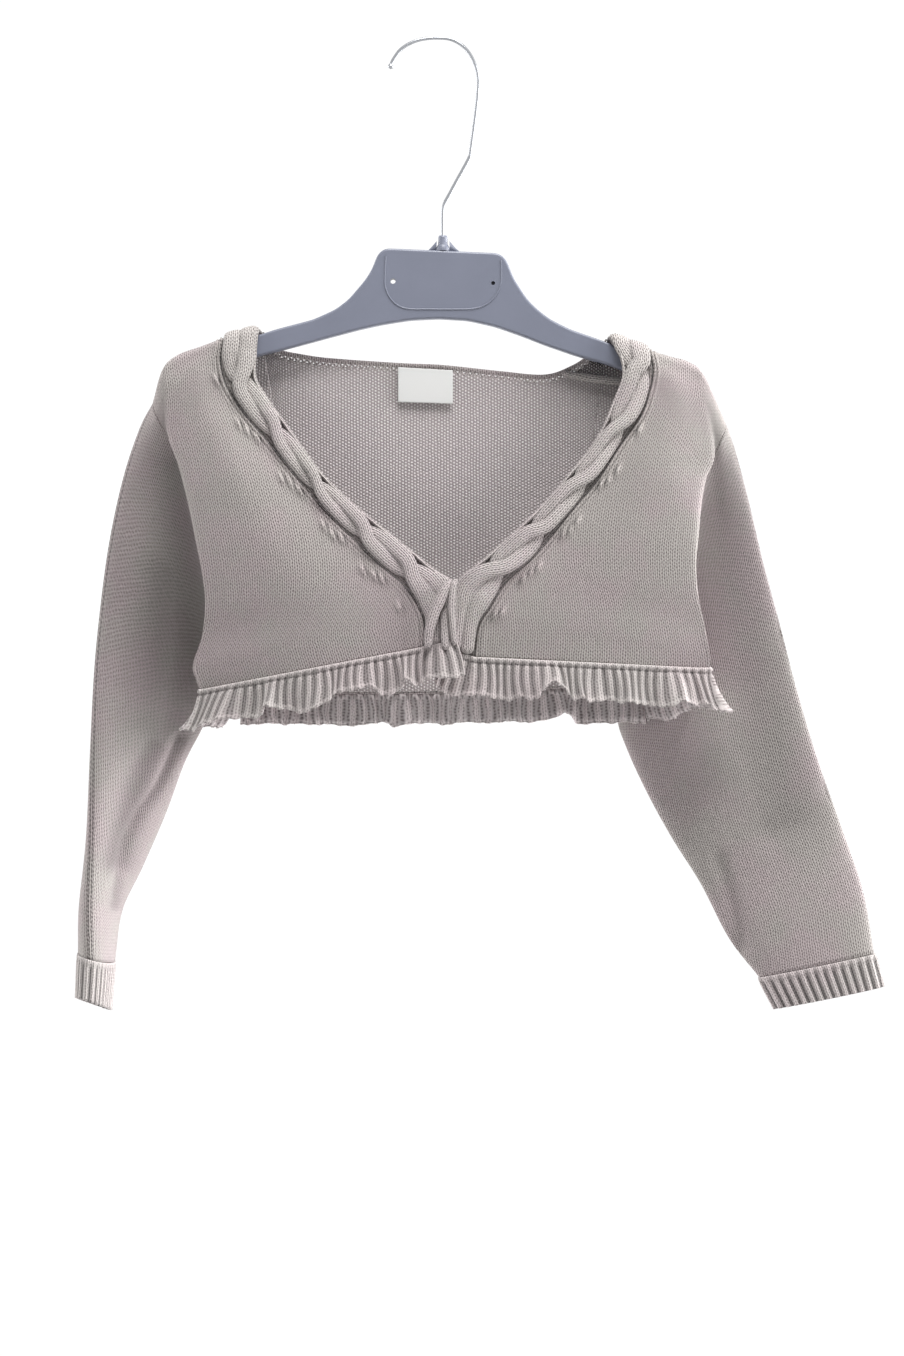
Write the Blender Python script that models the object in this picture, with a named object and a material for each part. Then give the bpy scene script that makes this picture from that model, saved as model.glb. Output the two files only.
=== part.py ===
"""A child's knitted bolero cardigan on a plastic hanger, hung by the hanger's wire hook.

Lengths are in millimetres until the meshes are written, in metres. The origin is the underside of the
hook wire at the top of its loop. +X is to the right as one faces the cardigan, +Y goes to its back and
+Z up. Left and right are those of someone who faces it.
"""

import math

import bmesh
import bpy
import numpy as np

METRES = 0.001

# Cloth walls and seams
KNIT = 1.5
SEAM_GAP = 0.3
HALF_GAP = SEAM_GAP / 2
LABEL_CLOTH = 0.8
EDGING_CLOTH = 1.9
EDGING_ROUND = 0.3

# Ribs and ruffles: ribs start lower at the seam, and a ruffle's depth and waves vary slowly along it
RIB_PITCH = 4.7
RIB_RISE = 1.1
RIB_START = 0.35
RIB_POINTS = (0.0, 1.0, 1.0)
HEM_DEPTH = 21.0
HEM_UNEVEN = 0.05
HEM_UNEVEN_WAVE = 61.0
HEM_STEPS = (0, 0.33, 0.68, 1)
HEM_FLARE = 1.0
SIDE_FLARE = 6.0
RUFFLE_WAVE = 27.0
RUFFLE_SWAY = 2.4
RUFFLE_DRIFT = 0.8
RUFFLE_DRIFT_WAVE = 83.0
RUFFLE_START = {"left": 0.6, "right": 2.1, "back": 1.3}
CUFF_DEPTH = 19.5
CUFF_RIBS = 28
CUFF_TAPER = 0.93
CUFF_RIB_SHARE = 0.9
CUFF_DROP = {"left": 0.14, "right": 0.0}

# Cable band: two strands that change places every CABLE_TURN
BAND_POINTS = 9
BAND_SECTIONS = 4
CABLE_TURN = 36.0
CABLE_START = {"left": 14.9, "right": 3.4}
CABLE_OVER = {"left": 1, "right": -1}
STRAND_RISE = 1.3
STRAND_LIFT = 0.6
STRAND_SWING = 0.2
STRAND_HALF = 0.26

# Rows of the tables below that bound the seams
ARM_ROW = 10
HEM_ROW = 13

# Front edge: the band's free neck edge, the ditch where it meets the front, and how far both stand forward
EDGE_COLUMNS = ("neck_x", "neck_z", "ditch_x", "ditch_z", "lie")
EDGE_LEFT = (
    (-99.7, -161.8, -119.3, -166.9, 0.0),
    (-99.7, -163.2, -119.3, -168.2, -5.6),
    (-100.2, -167.2, -119.8, -172.2, -7.8),
    (-100.8, -177.0, -120.4, -181.5, -9.4),
    (-100.8, -189.8, -117.0, -194.9, -11.0),
    (-94.6, -201.0, -106.4, -210.6, -12.6),
    (-80.6, -220.6, -90.7, -229.6, -15.0),
    (-63.3, -244.2, -72.2, -252.6, -17.6),
    (-42.0, -264.3, -53.2, -273.3, -20.0),
    (-21.8, -280.6, -33.6, -292.3, -22.5),
    (-2.8, -296.2, -16.2, -308.0, -24.6),
    (9.5, -305.2, -9.0, -319.8, -26.0),
    (10.6, -320.3, -6.7, -328.2, -26.4),
    (11.2, -336.0, -7.3, -339.9, -26.2),
)
EDGE_RIGHT = (
    (96.9, -165.8, 118.2, -173.6, 0.0),
    (96.9, -167.1, 118.2, -174.9, -5.6),
    (98.6, -170.8, 119.3, -178.6, -7.8),
    (101.9, -177.0, 120.4, -185.9, -9.4),
    (103.6, -188.7, 118.7, -196.6, -11.0),
    (98.6, -202.7, 113.7, -210.6, -12.2),
    (89.6, -222.9, 101.9, -227.9, -14.0),
    (73.4, -244.2, 86.8, -250.3, -16.0),
    (57.7, -262.1, 70.0, -269.9, -17.6),
    (42.0, -277.2, 54.9, -289.0, -18.8),
    (26.3, -291.2, 39.8, -302.4, -19.8),
    (12.3, -303.0, 29.1, -318.6, -20.4),
    (8.4, -319.2, 23.0, -328.7, -20.2),
    (6.2, -340.5, 20.7, -345.5, -19.8),
)

# Outer part of each front: where it turns round to the back, then its edge at the armhole or side seam
SIDE_COLUMNS = ("side_x", "side_y", "side_z", "end_x", "end_y", "end_z")
SIDE_LEFT = (
    (-153.4, 0.0, -184.2, -159.0, 0.0, -202.7),
    (-153.6, -4.6, -186.0, -158.8, -3.4, -204.0),
    (-153.2, -6.8, -190.4, -157.6, -6.0, -208.0),
    (-151.8, -8.8, -199.4, -155.0, -7.4, -213.6),
    (-149.6, -10.4, -222.0, -148.4, -6.6, -225.4),
    (-144.2, -12.2, -237.4, -142.6, -7.4, -239.8),
    (-138.6, -14.0, -258.8, -136.6, -8.2, -261.0),
    (-134.2, -15.4, -280.0, -132.0, -8.4, -282.2),
    (-130.6, -15.6, -298.6, -128.0, -7.0, -301.0),
    (-128.4, -14.4, -317.6, -124.4, -2.6, -320.4),
    (-129.0, -12.0, -334.6, -111.4, 12.6, -339.4),
    (-133.4, -11.0, -349.4, -111.4, 14.0, -350.0),
    (-132.2, -10.0, -357.4, -111.4, 14.6, -357.0),
    (-130.4, -9.0, -363.4, -111.4, 15.0, -363.6),
)
SIDE_RIGHT = (
    (149.5, 0.0, -188.2, 161.8, 0.0, -215.0),
    (149.9, -4.6, -190.0, 161.4, -3.4, -216.4),
    (150.0, -6.8, -195.0, 160.4, -6.0, -219.6),
    (150.6, -8.8, -206.0, 158.0, -7.4, -224.6),
    (154.6, -10.4, -232.0, 153.4, -6.6, -235.0),
    (150.0, -12.2, -245.4, 148.4, -7.4, -248.0),
    (147.2, -14.0, -260.4, 145.0, -8.2, -262.6),
    (145.6, -15.4, -277.2, 143.4, -8.4, -279.4),
    (144.2, -15.6, -292.4, 141.2, -7.0, -295.0),
    (144.6, -14.4, -309.2, 139.6, -2.6, -313.2),
    (145.6, -12.0, -325.8, 116.4, 12.6, -339.4),
    (147.8, -11.0, -338.8, 116.4, 14.0, -346.6),
    (149.0, -10.0, -346.0, 116.4, 14.6, -352.8),
    (149.0, -9.0, -351.6, 116.4, 15.0, -358.4),
)

# Fronts between ditch and side: middle bulge, and the shoulder's rounding over the end of the hanger
FRONT_COLUMNS = (0, 0.5, 1, 1.5, 2, 2.34, 2.67, 3, 3.35, 3.7, 4)
BELLY = 5.5
TURN_IN = 5.5
TURN_OUT = 4.5
SHOULDER_IN = 8.0
SHOULDER_UP = 7.6
SHOULDER_ROWS = 4.0
CHEST_ROW = 2.0

# Back neck, from the left band's end to the right one's: x, y and z of the top of the edging
NECK = (
    (-97.6, 6.2, -163.2),
    (-94.0, 7.0, -168.0),
    (-88.0, 7.6, -172.8),
    (-76.7, 8.2, -175.3),
    (-60.0, 8.8, -177.6),
    (-20.7, 9.4, -180.3),
    (3.4, 9.6, -181.4),
    (35.3, 9.4, -184.8),
    (60.5, 8.8, -186.8),
    (76.0, 8.2, -181.6),
    (86.0, 7.6, -175.0),
    (91.6, 7.0, -171.2),
    (95.0, 6.2, -167.2),
)
EDGING_DEPTH = 4.6
EDGING_END = 0.15
EDGING_TAPER = 14.0

# Back: how far it stands behind at the neck and at the hem, and its edges at the armholes
BACK_TOP = 9.0
BACK_FOOT = 16.0
BACK_FOOT_Z = -364.6
ROLL = 1.3
ARM_REACH = 0.26
ARM_EDGE_TOP = 8.0
ARM_EDGE_SLOPE = 4.6
ARM_EDGE_TURN = 3.0
UNDERARM_HOLLOW = 0.75

# Sleeves: outer fold, inner fold and half thickness at each ring, from the armhole to the cuff seam
SLEEVE_COLUMNS = ("out_x", "out_y", "out_z", "in_x", "in_y", "in_z", "half")
SLEEVE_RINGS = (0, 0.5, 1, 1.6, 2.3, 3, 4, 5, 6, 7, 8, 9)
SLEEVE_LEFT = (
    (-161.8, 1.0, -207.8, -112.6, 21.0, -342.7, 8.5),
    (-168.0, 3.0, -219.5, -115.4, 25.0, -350.6, 8.0),
    (-176.4, 5.6, -244.7, -121.5, 27.5, -364.0, 7.5),
    (-183.7, 7.0, -278.3, -127.1, 28.0, -374.1, 8.0),
    (-188.7, 9.0, -312.5, -135.0, 30.0, -389.2, 9.0),
    (-192.6, 8.0, -352.8, -143.9, 34.0, -406.0, 10.0),
    (-194.3, 3.0, -400.4, -155.1, 40.0, -434.0, 10.8),
    (-194.6, -4.0, -445.2, -169.7, 44.0, -463.7, 10.5),
    (-195.4, -10.0, -484.4, -184.2, 46.0, -488.3, 10.0),
    (-194.6, -12.0, -513.5, -189.4, 44.0, -515.2, 9.8),
)
SLEEVE_RIGHT = (
    (164.6, 1.0, -221.8, 115.9, 21.0, -342.7, 8.5),
    (169.1, 3.0, -235.2, 112.3, 26.0, -349.4, 7.5),
    (175.8, 6.0, -260.4, 105.2, 28.0, -364.0, 7.0),
    (183.1, 9.0, -291.2, 101.9, 27.0, -379.7, 7.0),
    (192.6, 12.0, -325.9, 107.0, 26.0, -396.5, 8.0),
    (202.7, 14.0, -364.0, 118.2, 24.0, -421.1, 8.0),
    (214.5, 15.0, -403.2, 132.2, 22.0, -446.9, 8.0),
    (229.0, 16.0, -444.1, 149.0, 20.0, -473.8, 8.0),
    (240.2, 16.0, -477.7, 164.6, 19.0, -504.0, 8.0),
    (246.4, 16.0, -512.4, 181.4, 18.0, -525.8, 8.0),
)

# Armhole seam: its two edges twist against each other, so 0.7 along the way out leaves about 0.3 between
ARMHOLE_GAP = 0.7
FIRST_STEP = 3.6
ARMHOLE_FADE = 4.0
EVEN_RINGS = 0.65

# Hanger: upper edge from the middle of the plate to an arm's end, then the lower edge back, and its section
HANGER_TOP_LEFT = ((-29.1, -117.0), (-33.0, -120.0), (-36.4, -128.8), (-39.8, -134.4), (-49.3, -145.6),
                   (-56.6, -151.2), (-68.9, -156.8), (-90.2, -162.4), (-99.1, -165.4), (-121.0, -171.6),
                   (-134.0, -176.2), (-140.4, -179.4), (-144.2, -183.0), (-145.2, -187.6))
HANGER_LOW_LEFT = ((-141.0, -189.8), (-121.5, -184.0), (-100.2, -177.0), (-76.7, -173.0), (-62.2, -168.0),
                   (-40.3, -162.4), (-9.5, -157.0))
HANGER_TOP_RIGHT = ((34.8, -119.8), (38.6, -123.2), (40.9, -128.8), (43.1, -134.4), (50.4, -145.6),
                    (56.0, -151.2), (63.3, -156.8), (74.5, -162.4), (90.7, -168.0), (99.0, -171.4),
                    (118.2, -178.2), (132.0, -183.6), (138.6, -187.2), (142.8, -191.0), (144.0, -196.2))
HANGER_LOW_RIGHT = ((139.6, -198.6), (119.8, -191.4), (99.7, -182.0), (76.7, -176.4), (60.5, -171.4),
                    (34.2, -162.4), (7.3, -157.0))
HANGER_HALF = 4.0
RIM_WIDTH = 1.9
WEB_SINK = 1.5
PIN_HOLE = (-24.6, -135.5)
PIN_HOLE_RADIUS = 1.4

# Hook: centre line of the wire, x and z, from the tip to the ferrule
WIRE_RADIUS = 1.0
HOOK_PATH = ((-26.0, -16.4), (-25.6, -13.6), (-24.0, -10.4), (-20.6, -5.8), (-15.4, -2.2), (-8.6, 0.2),
             (0.0, 1.0), (8.4, 0.0), (15.6, -4.6), (20.4, -12.0), (22.9, -21.0), (22.7, -30.6),
             (21.6, -41.0), (20.2, -51.6), (18.6, -63.0), (17.6, -68.4), (15.0, -73.6), (11.2, -80.4),
             (6.8, -88.6), (3.6, -97.6), (3.1, -104.0), (3.2, -111.4))
TIP_BEAD = 1.7
TIP_NECK = 0.8
FERRULE_X = 3.3
FERRULE_RADIUS = 2.6
FERRULE_SPREAD = 1.2
FERRULE_CONE = 3.0
FERRULE_SIDES = 16
FERRULE_FOOT = -118.1
FERRULE_TOP = -109.6

# Label on the inside of the back, hung from the neck edging
LABEL_X = (-22.0, 8.8)
LABEL_POINTS = (5, 4)
NECK_MIDDLE_ROW = 6
LABEL_TOP = (-182.8, -184.6)
LABEL_FOOT = (-202.4, -203.4)

COLOURS = {
    "knit": ((0.352, 0.312, 0.302), 0.9, 0.0),
    "label": ((0.85, 0.85, 0.87), 0.7, 0.0),
    "plastic": ((0.197, 0.212, 0.271), 0.4, 0.0),
    "steel": ((0.60, 0.60, 0.62), 0.25, 1.0),
}


def clear_scene():
    for item in list(bpy.data.objects):
        bpy.data.objects.remove(item, do_unlink=True)


def material(node, kind):
    """One Principled material for each sub-part, from its kind's colour, roughness and metallic value."""
    colour, roughness, metallic = COLOURS[kind]
    made = bpy.data.materials.new(node + "_" + kind)
    made.use_nodes = True
    shader = made.node_tree.nodes["Principled BSDF"]
    shader.inputs["Base Color"].default_value = (*colour, 1.0)
    shader.inputs["Roughness"].default_value = roughness
    shader.inputs["Metallic"].default_value = metallic
    made.diffuse_color = (*colour, 1.0)
    return made


def add_object(node, points, faces, kind):
    """A named object from points in millimetres, its faces turned outwards and its round parts smooth."""
    mesh = bpy.data.meshes.new(node)
    mesh.from_pydata([tuple(METRES * c for c in point) for point in points], [], faces)
    work = bmesh.new()
    work.from_mesh(mesh)
    bmesh.ops.recalc_face_normals(work, faces=work.faces)
    work.to_mesh(mesh)
    work.free()
    mesh.shade_smooth()
    mesh.set_sharp_from_angle(angle=math.radians(50))
    mesh.materials.append(material(node, kind))
    made = bpy.data.objects.new(node, mesh)
    bpy.context.scene.collection.objects.link(made)
    return made


def unit(vectors):
    length = np.linalg.norm(vectors, axis=-1, keepdims=True)
    return vectors / np.maximum(length, 1e-9)


def smooth(values, at):
    """Catmull-Rom curve through the rows of values, read at the row numbers in at."""
    values = np.asarray(values, float)
    ends = np.concatenate([[2 * values[0] - values[1]], values, [2 * values[-1] - values[-2]]])
    at = np.asarray(at, float)
    row = np.clip(np.floor(at).astype(int), 0, len(values) - 2)
    f = (at - row).reshape((-1,) + (1,) * (values.ndim - 1))
    a, b, c, d = (ends[row + k] for k in range(4))
    return 0.5 * (2 * b + (c - a) * f + (2 * a - 5 * b + 4 * c - d) * f**2 + (3 * b - a - 3 * c + d) * f**3)


def straight(values, at):
    """The chords between the rows of values, read at the row numbers in at."""
    values = np.asarray(values, float)
    row = np.clip(np.floor(at).astype(int), 0, len(values) - 2)
    f = (np.asarray(at, float) - row).reshape((-1,) + (1,) * (values.ndim - 1))
    return values[row] * (1 - f) + values[row + 1] * f


def columns(names, rows):
    return dict(zip(names, np.array(rows, float).T))


def bridge(faces, many, few):
    """Triangles between an edge of many points and one of few, whose count of steps divides it."""
    ratio = (len(many) - 1) // (len(few) - 1)
    for i in range(len(few) - 1):
        start = i * ratio
        turn = start + ratio // 2
        for k in range(start, start + ratio):
            faces.append((few[i] if k < turn else few[i + 1], many[k], many[k + 1]))
        faces.append((few[i], many[turn], few[i + 1]))


def grid_faces(index, closed):
    """Four-sided faces over a grid of point numbers; a closed grid's last column joins its first."""
    rows, width = index.shape
    steps = width if closed else width - 1
    return [
        (index[r, c], index[r, (c + 1) % width], index[r + 1, (c + 1) % width], index[r + 1, c])
        for r in range(rows - 1)
        for c in range(steps)
    ]


def add_wall(node, outer, inner, kind, closed=False):
    """A closed cloth wall between an outer grid and an inner one, which may be coarser by whole steps."""
    many = np.arange(outer.shape[0] * outer.shape[1]).reshape(outer.shape[:2])
    few = np.arange(inner.shape[0] * inner.shape[1]).reshape(inner.shape[:2]) + many.size
    faces = grid_faces(many, closed) + [face[::-1] for face in grid_faces(few, closed)]
    for row in (0, -1):
        a, b = list(many[row]), list(few[row])
        if closed:
            a, b = a + a[:1], b + b[:1]
        bridge(faces, a, b)
    if not closed:
        for column in (0, -1):
            bridge(faces, list(many[:, column]), list(few[:, column]))
    points = np.concatenate([outer.reshape(-1, 3), inner.reshape(-1, 3)])
    return add_object(node, points, faces, kind)


def normals(grid, towards, closed=False):
    """Unit normals of a grid of points, on the side on which towards lies from the grid's middle."""
    if closed:
        wide = np.concatenate([grid[:, -1:], grid, grid[:, :1]], axis=1)
        across = (wide[:, 2:] - wide[:, :-2]) / 2
    else:
        across = np.gradient(grid, axis=1)
    down = np.gradient(grid, axis=0)
    found = unit(np.cross(across, down))
    if towards is None:
        centre = grid.mean(axis=1, keepdims=True)
        turned = np.sum(found * (grid - centre)) < 0
    else:
        turned = np.sum(found * towards) < 0
    return -found if turned else found


def front_lines(edge_rows, side_rows, rows):
    """Five lines down a front, from the ditch by way of the belly and the turn to the side and the end."""
    edge = columns(EDGE_COLUMNS, edge_rows)
    side = columns(SIDE_COLUMNS, side_rows)
    ditch = np.stack([edge["ditch_x"], edge["lie"], edge["ditch_z"]], 1)
    turn = np.stack([side["side_x"], side["side_y"], side["side_z"]], 1)
    end = np.stack([side["end_x"], side["end_y"], side["end_z"]], 1)
    inboard = -np.sign(turn[:, :1])
    number = np.arange(len(turn))[:, None]
    shoulder = np.clip(1 - number / SHOULDER_ROWS, 0, 1)
    low = np.clip((number - CHEST_ROW) / SHOULDER_ROWS, 0, 1)
    rise = (ditch[:, 2:] - turn[:, 2:]) / np.abs(ditch[:, :1] - turn[:, :1])
    near_in = TURN_IN + (SHOULDER_IN - TURN_IN) * shoulder
    near = turn + np.concatenate(
        [inboard * near_in, -TURN_OUT * low, near_in * rise * (1 - shoulder) + SHOULDER_UP * shoulder], 1)
    belly = (ditch + near) / 2 - np.array([0, BELLY, 0]) * low
    lines = [smooth(line, rows) for line in (ditch, belly, near, turn)]
    lines.append(straight(end, rows))
    return np.stack(lines, 1)


def shoulder_normals(line):
    """Normals of a line in the shoulder seam's plane, upwards and square to the line."""
    run = np.gradient(line, axis=0)
    up = unit(np.cross(run, np.array([0.0, 1.0, 0.0])))
    return np.where(up[:, 2:] < 0, -up, up)


def level(vectors):
    """The same directions with no rise."""
    flat = vectors.copy()
    flat[..., 2] = 0
    return unit(flat)


class Front:
    """One front: its panel grid, the band beside it, and the normals that both share at their seams."""

    def __init__(self, name, edge_rows, side_rows):
        self.name = name
        self.rows = np.arange(0, HEM_ROW + 0.1, 0.5)
        lines = front_lines(edge_rows, side_rows, self.rows)
        self.grid = np.stack([smooth(line, FRONT_COLUMNS) for line in lines])
        edge = columns(EDGE_COLUMNS, edge_rows)
        self.neck = np.stack([edge["neck_x"], edge["lie"], edge["neck_z"]], 1)
        self.ditch = self.grid[:, 0]
        self.end = self.grid[:, -1]
        neck = smooth(self.neck, self.rows)
        self.across = unit(neck - self.ditch)
        self.normal = normals(self.grid, np.array([0, -1.0, 0]))
        run = np.gradient(self.ditch, axis=0)
        face = unit(np.cross(run, self.across))
        face = np.where(face[:, 1:2] > 0, -face, face)
        shoulder = shoulder_normals(self.grid[0])
        face[0] = shoulder[0]
        face[1] = unit(face[0] + face[2])
        self.normal[:, 0] = face
        self.normal[0] = shoulder
        self.normal[-1] = level(self.normal[-1])
        seam = self.rows >= ARM_ROW
        sideless = self.normal[seam, -1] * np.array([0, 1.0, 1.0])
        self.normal[seam, -1] = unit(sideless)
        self.normal[-1, -1] = (0, 1.0, 0)
        self.face = self.normal[:, 0]
        self.grid[0, :, 1] -= HALF_GAP
        self.inner = self.grid - self.normal * KNIT
        for face in (self.grid, self.inner):
            face[1::2, -1] = (face[:-1:2, -1] + face[2::2, -1]) / 2

    def add_panel(self):
        add_wall("front_" + self.name, self.grid, self.inner, "knit")

    def band(self):
        """Points of the band's base, ditch to neck, and the normal of each section."""
        at = np.linspace(0, HEM_ROW, HEM_ROW * BAND_SECTIONS + 1)
        ditch = straight(self.ditch, at * 2)
        neck = smooth(self.neck, at)
        neck[0, 1] -= HALF_GAP
        face = unit(straight(self.face, at * 2))
        ditch = ditch + unit(neck - ditch) * SEAM_GAP
        q = np.linspace(0, 1, BAND_POINTS)[None, :, None]
        base = ditch[:, None] * (1 - q) + neck[:, None] * q
        return base, face[:, None]

    def add_band(self):
        """The cable band: the cable's height on its outer face over a plain inner one."""
        base, face = self.band()
        middle = base[:, BAND_POINTS // 2]
        run = np.concatenate([[0], np.cumsum(np.linalg.norm(np.diff(middle, axis=0), axis=1))])
        run = run[:, None] - CABLE_START[self.name]
        raised = cable(run, np.linspace(0, 1, BAND_POINTS)[None, :], CABLE_OVER[self.name])
        outer = base + face * raised[..., None]
        inner = (base - face * KNIT)[::2, ::4]
        add_wall("band_" + self.name, outer, inner, "knit")


def cable(run, q, over):
    """Height of a two-strand cable at the distance run and place q, 0 at the ditch and 1 at the neck edge.

    Each strand swings from one side to the other in CABLE_TURN. Where over is 1, the one that leaves the
    neck edge lies on top, and where it is -1, the one that comes to it, so the lift of each is over times
    the sine that goes with its cosine swing.
    """
    phase = math.pi * run / CABLE_TURN
    height = np.zeros(np.broadcast(run, q).shape)
    for sign in (1, -1):
        middle = 0.5 + sign * STRAND_SWING * np.cos(phase)
        dome = np.sqrt(np.clip(1 - ((q - middle) / STRAND_HALF) ** 2, 0, 1))
        lift = STRAND_RISE + STRAND_LIFT * over * sign * np.sin(phase)
        height = np.maximum(height, dome * lift)
    return height


def along(line, count):
    """Points at even distances along a line of chords, and their distance from its start."""
    run = np.concatenate([[0], np.cumsum(np.linalg.norm(np.diff(line, axis=0), axis=1))])
    at = np.linspace(0, run[-1], count)
    return np.stack([np.interp(at, run, line[:, k]) for k in range(line.shape[1])], 1), at


def add_hem(node, top, face, phase, flare):
    """A ribbed ruffle under the line top: ribs stand out along face, and the free edge sways in waves."""
    length = np.linalg.norm(np.diff(top, axis=0), axis=1).sum()
    ribs = int(round(length / RIB_PITCH))
    line, run = along(np.concatenate([top, face], 1), 3 * ribs + 1)
    place, out = line[:, :3], level(line[:, 3:])
    place = place - np.array([0, 0, SEAM_GAP])
    rib = np.tile(RIB_POINTS, ribs + 1)[: 3 * ribs + 1]
    turn = 2 * math.pi * run
    wave = np.sin(turn / RUFFLE_WAVE + phase + RUFFLE_DRIFT * np.sin(turn / RUFFLE_DRIFT_WAVE))
    fall = HEM_DEPTH * (1 + HEM_UNEVEN * np.sin(turn / HEM_UNEVEN_WAVE + phase))
    sideways = np.abs(out[:, 0])
    outer, inner = [], []
    for f in HEM_STEPS:
        sway = (RUFFLE_SWAY * wave + HEM_FLARE + flare * sideways) * f
        plain = place + out * sway[:, None] - np.array([0, 0, 1.0]) * (fall * f)[:, None]
        rise = RIB_RISE * (RIB_START if f == 0 else 1.0)
        outer.append(plain + out * (rise * rib)[:, None])
        inner.append(plain - out * KNIT)
    add_wall(node, np.stack(outer), np.stack(inner)[:, ::3], "knit")


class Back:
    """The back panel: a straight fall from the shoulders and neck to the hem seam, between the armholes."""

    def __init__(self, left, right):
        self.rows = left.rows[::2]
        ends = [front.end[::2] for front in (left, right)]
        fall = [(end[0, 2] - end[:, 2]) / (end[0, 2] - end[-1, 2]) for end in ends]
        share = (fall[0] + fall[1])[:, None, None] / 2
        neck = np.array(NECK, float)
        under = edging_foot(neck) - np.array([0, 0, SEAM_GAP])
        shoulders = [self.shoulder(front) for front in (left, right)]
        top = np.concatenate([shoulders[0], under, shoulders[1][::-1]])
        self.neck_columns = slice(len(shoulders[0]), len(shoulders[0]) + len(under))
        place = (top[:, 0] - top[0, 0]) / (top[-1, 0] - top[0, 0])
        bow = np.sin(math.pi * place)
        foot = np.stack([
            left.end[-1, 0] + place * (right.end[-1, 0] - left.end[-1, 0]),
            left.end[-1, 1] + (BACK_FOOT - left.end[-1, 1]) * bow,
            left.end[-1, 2] + place * (right.end[-1, 2] - left.end[-1, 2])
            + (BACK_FOOT_Z - (left.end[-1, 2] + right.end[-1, 2]) / 2) * bow,
        ], 1)
        grid = top[None] * (1 - share) + foot[None] * share
        depth = share[..., 0] * (top[None, :, 2] - foot[None, :, 2])
        roll = 1 - np.exp(-depth / ROLL)
        stand = BACK_TOP + (foot[None, :, 1] - BACK_TOP) * share[..., 0]
        grid[..., 1] = top[None, :, 1] + (stand - top[None, :, 1]) * roll
        for front, reach in ((left, place), (right, 1 - place)):
            want = front.end[::2].copy()
            behind = ARM_EDGE_TOP + ARM_EDGE_SLOPE * self.rows / ARM_ROW
            behind = behind * np.clip(self.rows / ARM_EDGE_TURN, 0, 1)
            want[:, 1] = np.where(self.rows < ARM_ROW, behind, want[:, 1])
            hollow = 1 - UNDERARM_HOLLOW * (self.rows / ARM_ROW) ** 3
            inboard = want[-1, 0] + (want[:, 0] - want[-1, 0]) * hollow
            want[:, 0] = np.where(self.rows < ARM_ROW, inboard, want[:, 0])
            want[:, 0] += np.where(self.rows >= ARM_ROW, np.sign(-front.end[0, 0]) * SEAM_GAP, 0)
            column = 0 if front is left else -1
            shift = want - grid[:, column]
            near = np.clip(1 - reach / ARM_REACH, 0, 1) ** 2
            grid = grid + shift[:, None] * near[None, :, None]
        grid[0, : self.neck_columns.start, 1] = HALF_GAP
        grid[0, self.neck_columns.stop:, 1] = HALF_GAP
        self.grid = grid
        self.normal = normals(grid, np.array([0, 1.0, 0]))
        for part in (slice(0, self.neck_columns.start), slice(self.neck_columns.stop, None)):
            self.normal[0, part] = shoulder_normals(grid[0, part])
        for edge in ((0, self.neck_columns), (-1, slice(None))):
            self.normal[edge] = level(self.normal[edge])
        seam = self.rows >= ARM_ROW
        for column in (0, -1):
            self.normal[seam, column] = unit(self.normal[seam, column] * np.array([0, 1.0, 1.0]))
            self.normal[-1, column] = (0, 1.0, 0)
        self.inner = grid - self.normal * KNIT

    @staticmethod
    def shoulder(front):
        """The shoulder seam from the armhole to the neck, in the front's and the band's own points."""
        panel = front.grid[0, ::-2]
        neck = front.neck[0]
        return np.concatenate([panel, [(panel[-1] + neck) / 2, neck]])

    def add_panel(self):
        add_wall("back", self.grid, self.inner, "knit")

    def inside_y(self, z):
        """How far back the inner face lies at the heights z, near the middle."""
        line = self.inner[:, self.grid.shape[1] // 2]
        return np.interp(-z, -line[:, 2], line[:, 1])


def edging_foot(line):
    """The lower edge of the neck edging under points of its top, drawn in to nothing at both ends."""
    ends = np.array([NECK[0], NECK[-1]], float)[:, None]
    reach = np.linalg.norm(line[None] - ends, axis=2).min(axis=0)
    foot = line.copy()
    foot[:, 2] -= EDGING_DEPTH * (EDGING_END + (1 - EDGING_END) * np.clip(reach / EDGING_TAPER, 0, 1))
    return foot


def add_edging():
    """The folded strip along the back neck, above the panel's own edge."""
    at = np.linspace(0, len(NECK) - 1, 2 * len(NECK) - 1)
    top = smooth(NECK, at)
    low = straight(edging_foot(np.array(NECK, float)), at)
    outer = np.stack([top, (top + low) / 2, low])
    outer[1, :, 1] += EDGING_ROUND
    inner = outer[::2] - np.array([0, EDGING_CLOTH, 0])
    add_wall("back_neck_edging", outer, inner, "knit")


def armhole(front, back, column):
    """The loop of edge points round an armhole, outer and inner, and the way out of the panels there.

    It runs from the shoulder down the front's edge to the underarm and up the back's edge.
    """
    loops = []
    for piece, at, skip in ((front, -1, 2), (back, column, 1)):
        rows = slice(0, skip * ARM_ROW + 1, skip)
        outer, inner = piece.grid[rows, at], piece.inner[rows, at]
        run = unit(np.gradient(outer, axis=0))
        inward = piece.grid[rows, at - 1 if at == -1 else 1] - outer
        away = unit(np.cross(run, unit(outer - inner)))
        away = np.where(np.sum(away * inward, axis=1, keepdims=True) > 0, -away, away)
        loops.append(np.stack([outer, inner, away]))
    ahead, behind = loops
    top = (ahead[:, :1] + behind[:, :1]) / 2
    foot = (ahead[:, -1:] + behind[:, -1:]) / 2
    loop = np.concatenate([top, ahead[:, 1:-1], foot, behind[:, -2:0:-1]], axis=1)
    loop[2] = unit(loop[2])
    loop[2, ahead.shape[1] - 1] = (0, 0, 1.0)
    return loop


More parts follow.
